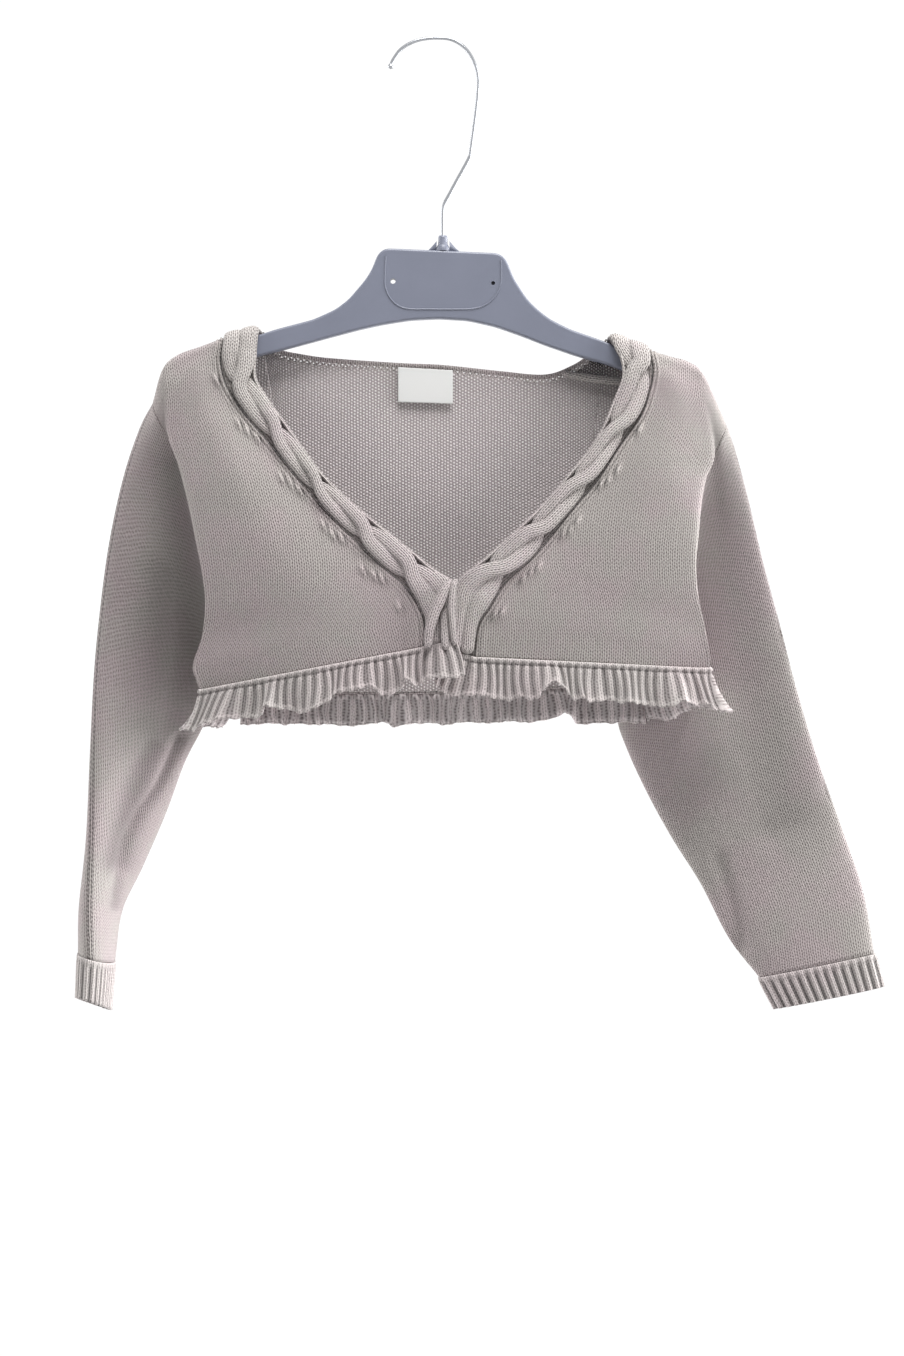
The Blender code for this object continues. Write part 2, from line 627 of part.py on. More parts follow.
def sleeve_ring(row, angle):
    """A flattened ring between the outer and the inner fold, bulged by half its thickness."""
    value = dict(zip(SLEEVE_COLUMNS, row))
    out = np.array([value["out_x"], value["out_y"], value["out_z"]])
    fold = np.array([value["in_x"], value["in_y"], value["in_z"]])
    middle, reach = (out + fold) / 2, (out - fold) / 2
    side = unit(np.cross(unit(reach), unit(np.array([-reach[2], 0.0, reach[0]]))))
    side = side if side[1] < 0 else -side
    return middle + np.cos(angle)[:, None] * reach + np.sin(angle)[:, None] * value["half"] * side


def add_sleeve(name, table, loop):
    """A tube from the armhole loop, whose shape fades into flat rings, to the cuff seam; returns its end."""
    outer_edge, inner_edge, away = loop
    count = len(outer_edge)
    step = np.linalg.norm(np.diff(np.concatenate([outer_edge, outer_edge[:1]]), axis=0), axis=1)
    run = np.concatenate([[0], np.cumsum(step)])
    half = count // 2
    measured = np.concatenate([
        math.pi * run[:half] / run[half],
        math.pi + math.pi * (run[half:count] - run[half]) / (run[count] - run[half]),
    ])
    angle = (1 - EVEN_RINGS) * measured + EVEN_RINGS * 2 * math.pi * np.arange(count) / count
    at = np.array(SLEEVE_RINGS, float)
    rows = smooth(table, at)
    plain = np.stack([sleeve_ring(row, angle) for row in rows])
    leave = unit(away + unit(outer_edge - inner_edge))
    first = outer_edge + away * ARMHOLE_GAP
    second = outer_edge + leave * FIRST_STEP
    fade = np.clip(1 - at / ARMHOLE_FADE, 0, 1)[:, None, None] ** 2
    body = plain + (second - plain[0])[None] * fade
    rings = np.concatenate([first[None], body])
    normal = normals(rings, None, closed=True)
    axis = unit(rings[-1].mean(axis=0) - rings[-2].mean(axis=0))
    normal[-1] = unit(normal[-1] - np.sum(normal[-1] * axis, axis=1, keepdims=True) * axis)
    inner = rings - normal * KNIT
    inner[0] = inner_edge + away * ARMHOLE_GAP
    add_wall("sleeve_" + name, rings, inner, "knit", closed=True)
    return rings[-1], normal[-1], axis


def add_cuff(name, ring, normal, axis, drop):
    """A ribbed cuff that carries on from the sleeve's last ring along its axis."""
    closed_line = np.concatenate([np.concatenate([ring, ring[:1]]), np.concatenate([normal, normal[:1]])], 1)
    line, _ = along(closed_line, 3 * CUFF_RIBS + 1)
    line = line[:-1]
    place, out = line[:, :3], unit(line[:, 3:])
    rib = np.tile(RIB_POINTS, CUFF_RIBS)
    middle = ring.mean(axis=0)
    outer, inner = [], []
    for f in (0, 0.5, 1):
        size = 1 + (CUFF_TAPER - 1) * f
        plain = middle + (place - middle) * size + axis * (SEAM_GAP + CUFF_DEPTH * f)
        plain[:, 2] -= drop * f * (place[:, 1] - middle[1])
        rise = RIB_RISE * (RIB_START if f == 0 else CUFF_RIB_SHARE)
        outer.append(plain + out * (rise * rib)[:, None])
        inner.append(plain - out * KNIT)
    add_wall("cuff_" + name, np.stack(outer), np.stack(inner)[::2, ::3], "knit", closed=True)


def add_label(back):
    """The woven label inside the back neck, made from the back's own inner face, moved out."""
    across = np.linspace(0, 1, LABEL_POINTS[0])
    grid = []
    for f in np.linspace(0, 1, LABEL_POINTS[1]):
        x = LABEL_X[0] + (LABEL_X[1] - LABEL_X[0]) * across
        top = LABEL_TOP[0] + (LABEL_TOP[1] - LABEL_TOP[0]) * across
        foot = LABEL_FOOT[0] + (LABEL_FOOT[1] - LABEL_FOOT[0]) * across
        z = top + (foot - top) * f
        y = np.minimum(back.inside_y(z), NECK[NECK_MIDDLE_ROW][1] - EDGING_CLOTH) - SEAM_GAP
        grid.append(np.stack([x, y, z], 1))
    behind = np.stack(grid)
    ahead = behind - np.array([0, LABEL_CLOTH, 0])
    add_wall("label", ahead, behind, "label")


def add_hanger():
    """The moulded hanger: an outline with a raised rim round a sunk web on each face, and a pin hole."""
    line = np.array(HANGER_TOP_LEFT + HANGER_LOW_LEFT + HANGER_LOW_RIGHT[::-1] + HANGER_TOP_RIGHT[::-1])
    ahead, behind = unit(np.roll(line, -1, axis=0) - line), unit(line - np.roll(line, 1, axis=0))
    both = ahead + behind
    square = unit(np.stack([-both[:, 1], both[:, 0]], 1))
    area = np.sum(line[:, 0] * np.roll(line[:, 1], -1) - np.roll(line[:, 0], -1) * line[:, 1])
    inward = square if area > 0 else -square
    web = line + inward * RIM_WIDTH
    rings = ((line, -HANGER_HALF), (web, -HANGER_HALF), (web, WEB_SINK - HANGER_HALF),
             (web, HANGER_HALF - WEB_SINK), (web, HANGER_HALF), (line, HANGER_HALF))
    count = len(line)
    points = [(x, y, z) for ring, y in rings for x, z in ring]
    faces = []
    for a, b in ((0, 1), (1, 2), (3, 4), (4, 5), (5, 0)):
        for k in range(count):
            n = (k + 1) % count
            faces.append((a * count + k, a * count + n, b * count + n, b * count + k))
    faces.append(tuple(range(2 * count, 3 * count)))
    faces.append(tuple(range(3 * count, 4 * count))[::-1])
    hanger = add_object("hanger", points, faces, "plastic")
    bpy.ops.mesh.primitive_cylinder_add(
        vertices=12,
        radius=PIN_HOLE_RADIUS * METRES,
        depth=4 * HANGER_HALF * METRES,
        location=(PIN_HOLE[0] * METRES, 0, PIN_HOLE[1] * METRES),
        rotation=(math.pi / 2, 0, 0),
    )
    cutter = bpy.context.object
    cutter.name = "pin_hole_cutter"
    cutter.hide_render = True
    cutter.display_type = "WIRE"
    cut = hanger.modifiers.new("pin_hole", "BOOLEAN")
    cut.operation = "DIFFERENCE"
    cut.object = cutter


def add_hook():
    """The bent wire hook, a round bar along its centre line with a small bead at the tip."""
    path = smooth(np.array(HOOK_PATH), np.linspace(0, len(HOOK_PATH) - 1, 2 * len(HOOK_PATH) - 1))
    curve = bpy.data.curves.new("hook", "CURVE")
    curve.dimensions = "3D"
    curve.bevel_depth = WIRE_RADIUS * METRES
    curve.bevel_resolution = 2
    curve.use_fill_caps = True
    spline = curve.splines.new("POLY")
    spline.points.add(len(path) - 1)
    for point, (x, z) in zip(spline.points, path):
        point.co = (x * METRES, 0, z * METRES, 1)
    spline.points[0].radius = TIP_BEAD
    spline.points[1].radius = TIP_BEAD * TIP_NECK
    curve.materials.append(material("hook", "steel"))
    bpy.context.scene.collection.objects.link(bpy.data.objects.new("hook", curve))


def ring_at(radius, z):
    """Points of a level circle round the shank's line at the height z."""
    turn = 2 * math.pi * np.arange(FERRULE_SIDES) / FERRULE_SIDES
    return np.stack([FERRULE_X + radius * np.cos(turn), radius * np.sin(turn), np.full(FERRULE_SIDES, z)], 1)


def add_ferrule():
    """The short collar on top of the hanger that the hook's shank turns in."""
    heights = (FERRULE_FOOT, FERRULE_FOOT + FERRULE_CONE, FERRULE_TOP)
    radii = (FERRULE_RADIUS + FERRULE_SPREAD, FERRULE_RADIUS, FERRULE_RADIUS)
    outer = [ring_at(radius, z) for radius, z in zip(radii, heights)]
    inner = [ring_at(WIRE_RADIUS + SEAM_GAP, z) for z in heights]
    add_wall("ferrule", np.stack(outer), np.stack(inner), "plastic", closed=True)


clear_scene()
left_front = Front("left", EDGE_LEFT, SIDE_LEFT)
right_front = Front("right", EDGE_RIGHT, SIDE_RIGHT)
back_panel = Back(left_front, right_front)
for one, table, at_column in ((left_front, SLEEVE_LEFT, 0), (right_front, SLEEVE_RIGHT, -1)):
    one.add_panel()
    one.add_band()
    last_ring, last_normal, last_axis = add_sleeve(one.name, table, armhole(one, back_panel, at_column))
    add_cuff(one.name, last_ring, last_normal, last_axis, CUFF_DROP[one.name])
    band_base, band_face = one.band()
    seam_line = np.concatenate([band_base[-1, ::-1], one.grid[-1, 1:]])
    seam_face = np.concatenate([np.repeat(band_face[-1], BAND_POINTS, axis=0), one.normal[-1, 1:]])
    add_hem("hem_front_" + one.name, seam_line, seam_face, RUFFLE_START[one.name], SIDE_FLARE)
back_panel.add_panel()
add_hem("hem_back", back_panel.grid[-1], back_panel.normal[-1], RUFFLE_START["back"], 0.0)
add_edging()
add_label(back_panel)
add_hanger()
add_ferrule()
add_hook()
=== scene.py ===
"""A child's knitted bolero cardigan on a plastic hanger: the dressed model.

Lengths are in millimetres until a mesh is written, in metres. +X is to the right as one faces the
cardigan, +Y goes to its back and +Z up. Left and right are those of someone who faces it.
"""

import math

import bpy
import numpy as np
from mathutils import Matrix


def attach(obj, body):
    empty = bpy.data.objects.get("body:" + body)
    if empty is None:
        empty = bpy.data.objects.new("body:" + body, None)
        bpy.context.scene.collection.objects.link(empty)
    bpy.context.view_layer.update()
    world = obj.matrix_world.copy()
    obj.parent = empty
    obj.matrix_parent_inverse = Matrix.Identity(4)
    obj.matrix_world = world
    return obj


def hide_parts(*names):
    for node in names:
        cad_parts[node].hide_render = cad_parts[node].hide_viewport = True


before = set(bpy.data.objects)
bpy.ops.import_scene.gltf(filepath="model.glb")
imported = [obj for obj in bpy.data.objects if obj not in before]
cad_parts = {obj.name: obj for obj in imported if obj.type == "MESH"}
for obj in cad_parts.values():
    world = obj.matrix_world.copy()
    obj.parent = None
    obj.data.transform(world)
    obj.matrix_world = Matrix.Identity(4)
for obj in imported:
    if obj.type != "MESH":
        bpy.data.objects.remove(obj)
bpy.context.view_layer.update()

# ----------------------------------------------------------------------------------------------------
# Hook. A 2 mm spring-steel wire, bent to a loop on a former and chrome plated. Its tip has a small bead,
# and its shank stands in the hanger's collar.
METRES = 0.001
TURN = 2 * math.pi
WIRE_RADIUS = 1.0
WIRE_SIDES = 16
WIRE_SECTIONS = 260
TIP_BEAD = 1.7
BEAD_PLACE, BEAD_HALF, TIP_ROUND = 1.2, 1.1, 0.8
HOOK_PATH = (
    (-26, -16.4), (-25.6, -13.6), (-24, -10.4), (-20.6, -5.8), (-15.4, -2.2), (-8.6, 0.2), (0, 1), (8.4, 0),
    (15.6, -4.6), (20.4, -12), (22.9, -21), (22.7, -30.6), (21.6, -41), (20.2, -51.6), (18.6, -63),
    (18, -66), (15, -71.8), (11.2, -78.6), (6.9, -86.6), (4.3, -91.4), (3.3, -95.4), (3.1, -104),
    (3.2, -111.4),
)


def unit(vectors):
    """Each vector divided by its own length."""
    length = np.linalg.norm(vectors, axis=-1, keepdims=True)
    return vectors / np.maximum(length, 1e-9)


def smooth(values, at):
    """Catmull-Rom curve through the rows of values, read at the row numbers in at."""
    values = np.asarray(values, float)
    ends = np.concatenate([[2 * values[0] - values[1]], values, [2 * values[-1] - values[-2]]])
    at = np.asarray(at, float)
    row = np.clip(np.floor(at).astype(int), 0, len(values) - 2)
    f = (at - row).reshape((-1,) + (1,) * (values.ndim - 1))
    a, b, c, d = (ends[row + k] for k in range(4))
    return 0.5 * (2 * b + (c - a) * f + (2 * a - 5 * b + 4 * c - d) * f**2 + (3 * b - a - 3 * c + d) * f**3)


def curve(table, count):
    """The smooth curve through all rows of a table, read at count even steps of the row number."""
    return smooth(table, np.linspace(0, len(table) - 1, count))


def distance(line):
    """Distance of each point of a line from its first one: the running sum of the chords."""
    return np.cumsum(np.linalg.norm(np.diff(line, axis=0, prepend=line[:1]), axis=1))


def linear(code):
    """An sRGB hex colour as linear red, green, blue and 1: a power of 2.4 above a short straight foot."""
    parts = [int(code[k:k + 2], 16) / 255 for k in (0, 2, 4)]
    return (*(c / 12.92 if c <= 0.04045 else ((c + 0.055) / 1.055) ** 2.4 for c in parts), 1.0)


def add_node(owner, kind, inputs=(), **settings):
    """One shader node of a kind, with its operation after a space where it has one, and its settings.

    Inputs are a dict, or a list in the node's own order. Each is a number, a colour, another node's output,
    or another node, which stands for its first output.
    """
    tree = owner.node_tree
    node = tree.nodes.new("ShaderNode" + kind.split()[0])
    if " " in kind:
        node.operation = kind.split()[1]
    for key, value in settings.items():
        setattr(node, key, value)
    for key, value in (inputs if isinstance(inputs, dict) else dict(enumerate(inputs))).items():
        if isinstance(value, bpy.types.Node):
            value = value.outputs[0]
        if isinstance(value, bpy.types.NodeSocket):
            tree.links.new(value, node.inputs[key])
        else:
            node.inputs[key].default_value = value
    return node


def new_material(name, inputs):
    """A Principled material with its plain numbers and colours; returns it and its shader."""
    made = bpy.data.materials.new(name)
    made.use_nodes = True
    shader = made.node_tree.nodes["Principled BSDF"]
    for key, value in inputs.items():
        shader.inputs[key].default_value = value
    return made, shader


def connect(owner, output, socket):
    """Links a node's output to the input of the shader that the owner already has."""
    owner.node_tree.links.new(output, socket)


def put(name, data):
    """A new object with this mesh, lamp or camera, linked into the scene."""
    made = bpy.data.objects.new(name, data)
    bpy.context.scene.collection.objects.link(made)
    return made


def quads(rows, width, closed):
    """Row, column and next column of each four-sided face of a grid, and the numbers of its four points."""
    r, c = np.meshgrid(np.arange(rows - 1), np.arange(width if closed else width - 1), indexing="ij")
    n = (c + 1) % width
    return r, c, n, np.stack([r * width + c, r * width + n, (r + 1) * width + n, (r + 1) * width + c], -1)


def add_grid(name, grid, uv, materials, outward, closed=False, hollow=None):
    """A piece from a grid of points: four-sided faces turned to outward, smooth, with uv in millimetres.

    A closed grid's last column joins its first, and its uv has one more column than its points. Hollow is the
    shade painted at each point, from 1 in a deep groove to below 0 for light painted on a ridge.
    """
    rows, width = grid.shape[:2]
    r, c, n, faces = quads(rows, width, closed)
    corner = np.stack([uv[r, c], uv[r, c + 1], uv[r + 1, c + 1], uv[r + 1, c]], 2)
    across, down = grid[r, n] - grid[r, c], grid[r + 1, c] - grid[r, c]
    if np.sum(np.cross(across, down) * outward[r, c]) < 0:
        faces, corner = faces[..., ::-1], corner[:, :, ::-1]
    mesh = bpy.data.meshes.new(name)
    mesh.from_pydata((grid.reshape(-1, 3) * METRES).tolist(), [], faces.reshape(-1, 4).tolist())
    layer = mesh.uv_layers.new(name="cloth")
    layer.data.foreach_set("uv", corner.reshape(-1, 2).astype(np.float32).ravel())
    if hollow is not None:
        shade = mesh.attributes.new("hollow", "FLOAT", "POINT")
        shade.data.foreach_set("value", np.broadcast_to(hollow, (rows, width)).astype(np.float32).ravel())
    mesh.shade_smooth()
    for item in materials:
        mesh.materials.append(item)
    made = put(name, mesh)
    return made


def tube(path, radius, sides):
    """Points of a round bar: circles of the given radius at each point of path, square to its run.

    Each circle is set out from the path's side direction and the direction square to it and the run.
    """
    run = unit(np.gradient(path, axis=0))
    side = np.cross(run, np.array([0.0, 1.0, 0.0]))
    side = unit(np.where(np.linalg.norm(side, axis=1, keepdims=True) < 1e-3, np.array([1.0, 0, 0]), side))
    other = np.cross(run, side)
    turn = TURN * np.arange(sides) / sides
    ring = np.cos(turn)[None, :, None] * side[:, None] + np.sin(turn)[None, :, None] * other[:, None]
    return path[:, None] + ring * np.asarray(radius, float).reshape(-1, 1, 1), ring


def lengths(grid, closed=False):
    """uv of a grid in millimetres: distance across each row from its first column, mean distance down."""
    wide = np.concatenate([grid, grid[:, :1]], axis=1) if closed else grid
    u = np.cumsum(np.linalg.norm(np.diff(wide, axis=1, prepend=wide[:, :1]), axis=2), axis=1)
    v = np.cumsum(np.linalg.norm(np.diff(wide, axis=0, prepend=wide[:1]), axis=2), axis=0).mean(axis=1)
    return np.stack([u, np.broadcast_to(v[:, None], u.shape)], -1)


# Chrome-plated drawn wire: a sharp bright reflection with faint drawing lines
chrome, chrome_shader = new_material("chrome_plated_wire", {
    "Base Color": linear("9C9EA2"), "Metallic": 1.0, "Roughness": 0.3})
wire_place = add_node(chrome, "TexCoord")
wire_lines = add_node(chrome, "TexNoise", {
    "Vector": wire_place.outputs["Object"], "Scale": 900.0, "Detail": 3.0})
wire_bump = add_node(chrome, "Bump", {
    "Height": wire_lines, "Strength": 0.05, "Distance": 0.00005})
connect(chrome, wire_bump.outputs["Normal"], chrome_shader.inputs["Normal"])

hook_line = np.insert(curve(HOOK_PATH, WIRE_SECTIONS), 1, 0, axis=1)
hook_run = distance(hook_line)
bead = 1 + (TIP_BEAD - 1) * np.exp(-((hook_run - BEAD_PLACE) / BEAD_HALF) ** 4)
bead *= np.sqrt(np.clip(hook_run / TIP_ROUND, 0.02, 1))
hook_points, hook_out = tube(hook_line, WIRE_RADIUS * bead, WIRE_SIDES)
hook = add_grid("wire_hook", hook_points, lengths(hook_points, True), [chrome], hook_out, True)
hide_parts("hook")
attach(hook, "root")

# ----------------------------------------------------------------------------------------------------
# Hanger. Injection-moulded blue-grey polystyrene: a flat plate in the middle with a fine raised line, and
# two arms, all rounded along their edges. The collar and two small gussets on top hold the hook's shank.
HANGER_TOP_LEFT = (
    (-29.1, -117), (-33, -120), (-36.4, -128.8), (-39.8, -134.4), (-49.3, -145.6), (-56.6, -151.2),
    (-68.9, -156.8), (-90.2, -162.4), (-99.1, -165.4), (-121, -171.6), (-134, -176.2), (-140.4, -179.4),
    (-144.2, -183), (-145.2, -187.6),
)
HANGER_LOW_LEFT = (
    (-141, -189.8), (-121.5, -184), (-100.2, -177.4), (-76.7, -171.4), (-59, -166.6), (-43.1, -162.4),
    (-30.2, -159.6), (-15.1, -157.2),
)
HANGER_TOP_RIGHT = (
    (34.8, -119.8), (38.6, -123.2), (40.9, -128.8), (43.1, -134.4), (50.4, -145.6), (56, -151.2),
    (63.3, -156.8), (74.5, -162.4), (90.7, -168), (99, -171.4), (118.2, -178.2), (132, -183.6),
    (138.6, -187.2), (142.8, -191), (144, -196.2),
)
HANGER_LOW_RIGHT = (
    (139.6, -198.6), (119.8, -191.4), (95.4, -182), (77.3, -177), (60.5, -171.2), (47.3, -166),
    (32.5, -160.8), (17.4, -157.4), (1, -156.4),
)
HANGER_HALF = 4.0
HANGER_STEP = 0.9
HANGER_CORNER = 2.2
EDGE_ROUND = 1.3
EDGE_STRIP = 1.3 * EDGE_ROUND
EDGE_STEPS = 12
SHARP_EDGE = math.radians(12)
PLATE_SECTIONS, PLATE_BEAD, PLATE_SIDES = 160, 0.45, 10
PLATE_LINE = (
    (-28.6, -121.5), (-29, -130), (-29, -138), (-26.5, -144.5), (-22, -149), (-16, -151), (-6, -151.2),
    (10, -151.3), (21, -150.8), (28, -148.2), (33, -143.4), (35.6, -137), (36, -130), (35.8, -124),
)
PIN_HOLES = ((-24.6, -135.5, 1.5, 0), (31.4, -136.6, 1.1, -9))
PIN_SIDES, PIN_LENGTH = 32, 20.0
COLLAR_X = 3.3
COLLAR_SIDES = 48
COLLAR = ((3.9, -118.3), (3.9, -117.2), (3.1, -115.4), (2.6, -114.4), (2.6, -111), (2.3, -109.8),
          (1.3, -109.6))
GUSSETS = {"left": (-0.2, -5.6), "right": (7, 12.4)}
GUSSET_FOOT, GUSSET_LOW, GUSSET_RISE, GUSSET_SAG = -119.0, -118.4, 5.6, 1.2
GUSSET_HALF, GUSSET_CREST, GUSSET_STEPS = 0.9, 0.6, 12

# Moulded polystyrene: an even satin with a very fine moulding grain
plastic, plastic_shader = new_material("moulded_blue_grey_polystyrene", {
    "Roughness": 0.42, "IOR": 1.58, "Coat Weight": 0.12, "Coat Roughness": 0.3})
plastic_place = add_node(plastic, "TexCoord")
plastic_cloud = add_node(plastic, "TexNoise", {
    "Vector": plastic_place.outputs["Object"], "Scale": 40.0, "Detail": 3.0})
plastic_colour = add_node(plastic, "Mix", {
    "Factor": plastic_cloud, "A": linear("727685"), "B": linear("7D8191")}, data_type="RGBA")
plastic_grain = add_node(plastic, "TexNoise", {
    "Vector": plastic_place.outputs["Object"], "Scale": 2500.0, "Detail": 2.0})
plastic_bump = add_node(plastic, "Bump", {
    "Height": plastic_grain, "Strength": 0.12, "Distance": 0.0001})
connect(plastic, plastic_colour.outputs["Result"], plastic_shader.inputs["Base Color"])
connect(plastic, plastic_bump.outputs["Normal"], plastic_shader.inputs["Normal"])


def moulded_outline(corners, step, corner):
    """The closed outline through the corners at even steps, rounded by a running mean, a bell corner wide."""
    ring = np.array(corners + corners[:1], float)
    run = distance(ring)
    count = int(run[-1] / step)
    at = np.linspace(0, run[-1], count, endpoint=False)
    line = np.stack([np.interp(at, run, ring[:, k]) for k in (0, 1)], 1)
    reach = int(round(3 * corner / step))
    weight = np.exp(-0.5 * (np.arange(-reach, reach + 1) * step / corner) ** 2)
    weight /= weight.sum()
    wide = np.concatenate([line[-reach:], line, line[:reach]])
    return np.stack([np.convolve(wide[:, k], weight, "valid") for k in (0, 1)], 1)


hanger_corners = HANGER_TOP_LEFT + HANGER_LOW_LEFT + HANGER_LOW_RIGHT[::-1] + HANGER_TOP_RIGHT[::-1]
hanger_line = moulded_outline(hanger_corners, HANGER_STEP, HANGER_CORNER)
# The outline runs down on the left and up on the right, so its inner side lies to the left of its run
hanger_run = unit(np.roll(hanger_line, -2, axis=0) - np.roll(hanger_line, 2, axis=0))
hanger_in = np.stack([-hanger_run[:, 1], hanger_run[:, 0]], 1)
# The edge's section, from the near face round a quarter circle each to the far face: inset and depth
edge_turn = np.linspace(0, math.pi / 2, EDGE_STEPS)
edge_half = EDGE_ROUND * (1 - np.stack([np.sin(edge_turn), np.cos(edge_turn)], 1)) - (0, HANGER_HALF)
edge_half = np.concatenate([[[EDGE_STRIP, -HANGER_HALF]], edge_half])
rim = np.concatenate([edge_half, edge_half[::-1] * (1, -1)])
flat_line = hanger_line[None] + hanger_in[None] * rim[:, 0][:, None, None]
rim_depth = np.broadcast_to(rim[:, 1:], flat_line.shape[:2])
hanger_points = np.stack([flat_line[..., 0], rim_depth, flat_line[..., 1]], -1)
hanger_mesh = bpy.data.meshes.new("moulded_hanger")
hanger_rows, hanger_count = hanger_points.shape[:2]
hanger_faces = quads(hanger_rows, hanger_count, True)[-1].reshape(-1, 4).tolist()
hanger_faces.append(list(range(hanger_count))[::-1])
hanger_faces.append(list(range((hanger_rows - 1) * hanger_count, hanger_rows * hanger_count)))
hanger_mesh.from_pydata((hanger_points.reshape(-1, 3) * METRES).tolist(), [], hanger_faces)
hanger_mesh.materials.append(plastic)
hanger = put("moulded_hanger", hanger_mesh)
for pin_x, pin_z, pin_radius, pin_y in PIN_HOLES:
    bpy.ops.mesh.primitive_cylinder_add(
        vertices=PIN_SIDES, radius=pin_radius * METRES, depth=PIN_LENGTH * METRES,
        location=(pin_x * METRES, pin_y * METRES, pin_z * METRES), rotation=(math.pi / 2, 0, 0))
    pin = bpy.context.object
    cut = hanger.modifiers.new("pin_hole", "BOOLEAN")
    cut.operation, cut.object, cut.solver = "DIFFERENCE", pin, "EXACT"
    bpy.context.view_layer.objects.active = hanger
    bpy.ops.object.modifier_apply(modifier=cut.name)
    bpy.data.objects.remove(pin)
hanger.data.shade_smooth()
hanger.data.set_sharp_from_angle(angle=SHARP_EDGE)
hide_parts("hanger")
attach(hanger, "root")

# The plate's raised line on both faces, a low bead that follows the plate's lower edge
plate_line = curve(PLATE_LINE, PLATE_SECTIONS)
for side_name, side_y in (("near", -HANGER_HALF), ("far", HANGER_HALF)):
    bead_points, bead_out = tube(np.insert(plate_line, 1, side_y, axis=1), PLATE_BEAD, PLATE_SIDES)
    plate_bead = add_grid("plate_line_" + side_name, bead_points, lengths(bead_points, True), [plastic],
                          bead_out, True)
    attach(plate_bead, "root")

# Collar, a turned shape round the shank
collar_turn = TURN * np.arange(COLLAR_SIDES) / COLLAR_SIDES
collar_reach, collar_z = np.array(COLLAR).T[:, :, None]
collar_points = np.stack(np.broadcast_arrays(
    COLLAR_X + collar_reach * np.cos(collar_turn), collar_reach * np.sin(collar_turn), collar_z), -1)
collar_out = (collar_points - np.array([COLLAR_X, 0, 0])) * np.array([1, 1, 0])
collar = add_grid("hook_collar", collar_points, lengths(collar_points, True), [plastic],
                  collar_out, True)
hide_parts("ferrule")
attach(collar, "root")

# Gussets, two thin triangles from the collar down to the plate's top edge
gusset_y = np.array([-GUSSET_HALF, -GUSSET_HALF, -GUSSET_CREST, GUSSET_CREST, GUSSET_HALF, GUSSET_HALF])
gusset_up = np.array([0, 1, 1, 1, 1, 0])
for gusset_name, (tall, flat) in GUSSETS.items():
    place = np.linspace(0, 1, GUSSET_STEPS)[:, None]
    top_z = GUSSET_LOW + GUSSET_RISE * (1 - place) ** GUSSET_SAG
    gusset_points = np.stack(np.broadcast_arrays(
        tall + (flat - tall) * place, gusset_y, GUSSET_FOOT + (top_z - GUSSET_FOOT) * gusset_up), -1)
    gusset = add_grid("gusset_" + gusset_name, gusset_points, lengths(gusset_points, True), [plastic],
                      gusset_points - gusset_points.mean(axis=1, keepdims=True), True)
    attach(gusset, "root")

# ----------------------------------------------------------------------------------------------------
# Fronts. Two panels of plain cotton jersey, about 12 gauge, knitted to shape: each curves from the neck's
# cable round the chest to the armhole, and rolls round to the back at the side.
KNIT = 1.3
SEAM_GAP = 0.3
ARM_ROW = 10
HEM_ROW = 13
FRONT_ROWS = 200
EDGE_COLUMNS = ("neck_x", "neck_z", "ditch_x", "ditch_z", "lie")
EDGE_LEFT = (
    (-99.7, -161.8, -119.3, -166.9, 0), (-99.7, -163.2, -119.3, -168.2, -5.6),
    (-100.2, -167.2, -119.8, -172.2, -7.8), (-100.8, -177, -120.4, -181.5, -9.4),
    (-100.8, -189.8, -117, -194.9, -11), (-94.6, -201, -106.4, -210.6, -12.6),
    (-80.6, -220.6, -90.7, -229.6, -15), (-63.3, -244.2, -72.2, -252.6, -17.6),
    (-42, -264.3, -53.2, -273.3, -20), (-21.8, -280.6, -33.6, -292.3, -22.5),
    (-2.8, -296.2, -16.2, -308, -24.6), (9.5, -305.2, -9, -319.8, -26), (10.6, -320.3, -6.7, -328.2, -26.4),
    (11.2, -336, -7.3, -339.9, -26.2),
)
EDGE_RIGHT = (
    (96.9, -165.8, 118.2, -173.6, 0), (96.9, -167.1, 118.2, -174.9, -5.6),
    (98.6, -170.8, 119.3, -178.6, -7.8), (101.9, -177, 120.4, -185.9, -9.4),
    (103.6, -188.7, 118.7, -196.6, -11), (98.6, -202.7, 113.7, -210.6, -12.2),
    (89.6, -222.9, 101.9, -227.9, -14), (73.4, -244.2, 86.8, -250.3, -16),
    (57.7, -262.1, 70, -269.9, -17.6), (42, -277.2, 54.9, -289, -18.8), (26.3, -291.2, 39.8, -302.4, -19.8),
    (12.3, -303, 29.1, -318.6, -20.4), (8.4, -319.2, 23, -328.7, -20.2), (6.2, -340.5, 20.7, -345.5, -19.8),
)
SIDE_COLUMNS = ("side_x", "side_y", "side_z", "end_x", "end_y", "end_z")
SIDE_LEFT = (
    (-153.4, 0, -184.2, -159, 0, -202.7), (-153.6, -4.6, -186, -158.8, -3.4, -204),
    (-153.2, -6.8, -190.4, -157.6, -6, -208), (-151.8, -8.8, -199.4, -155, -7.4, -213.6),
    (-149.6, -10.4, -222, -148.4, -6.6, -225.4), (-144.2, -12.2, -237.4, -142.6, -7.4, -239.8),
    (-138.6, -14, -258.8, -136.6, -8.2, -261), (-134.2, -15.4, -280, -132, -8.4, -282.2),
    (-130.6, -15.6, -298.6, -128, -7, -301), (-128.4, -14.4, -317.6, -124.4, -2.6, -320.4),
    (-129, -12, -334.6, -111.4, 12.6, -339.4), (-133.4, -11, -349.4, -111.4, 14, -350),
    (-132.2, -10, -357.4, -111.4, 14.6, -357), (-130.4, -9, -363.4, -111.4, 15, -363.6),
)
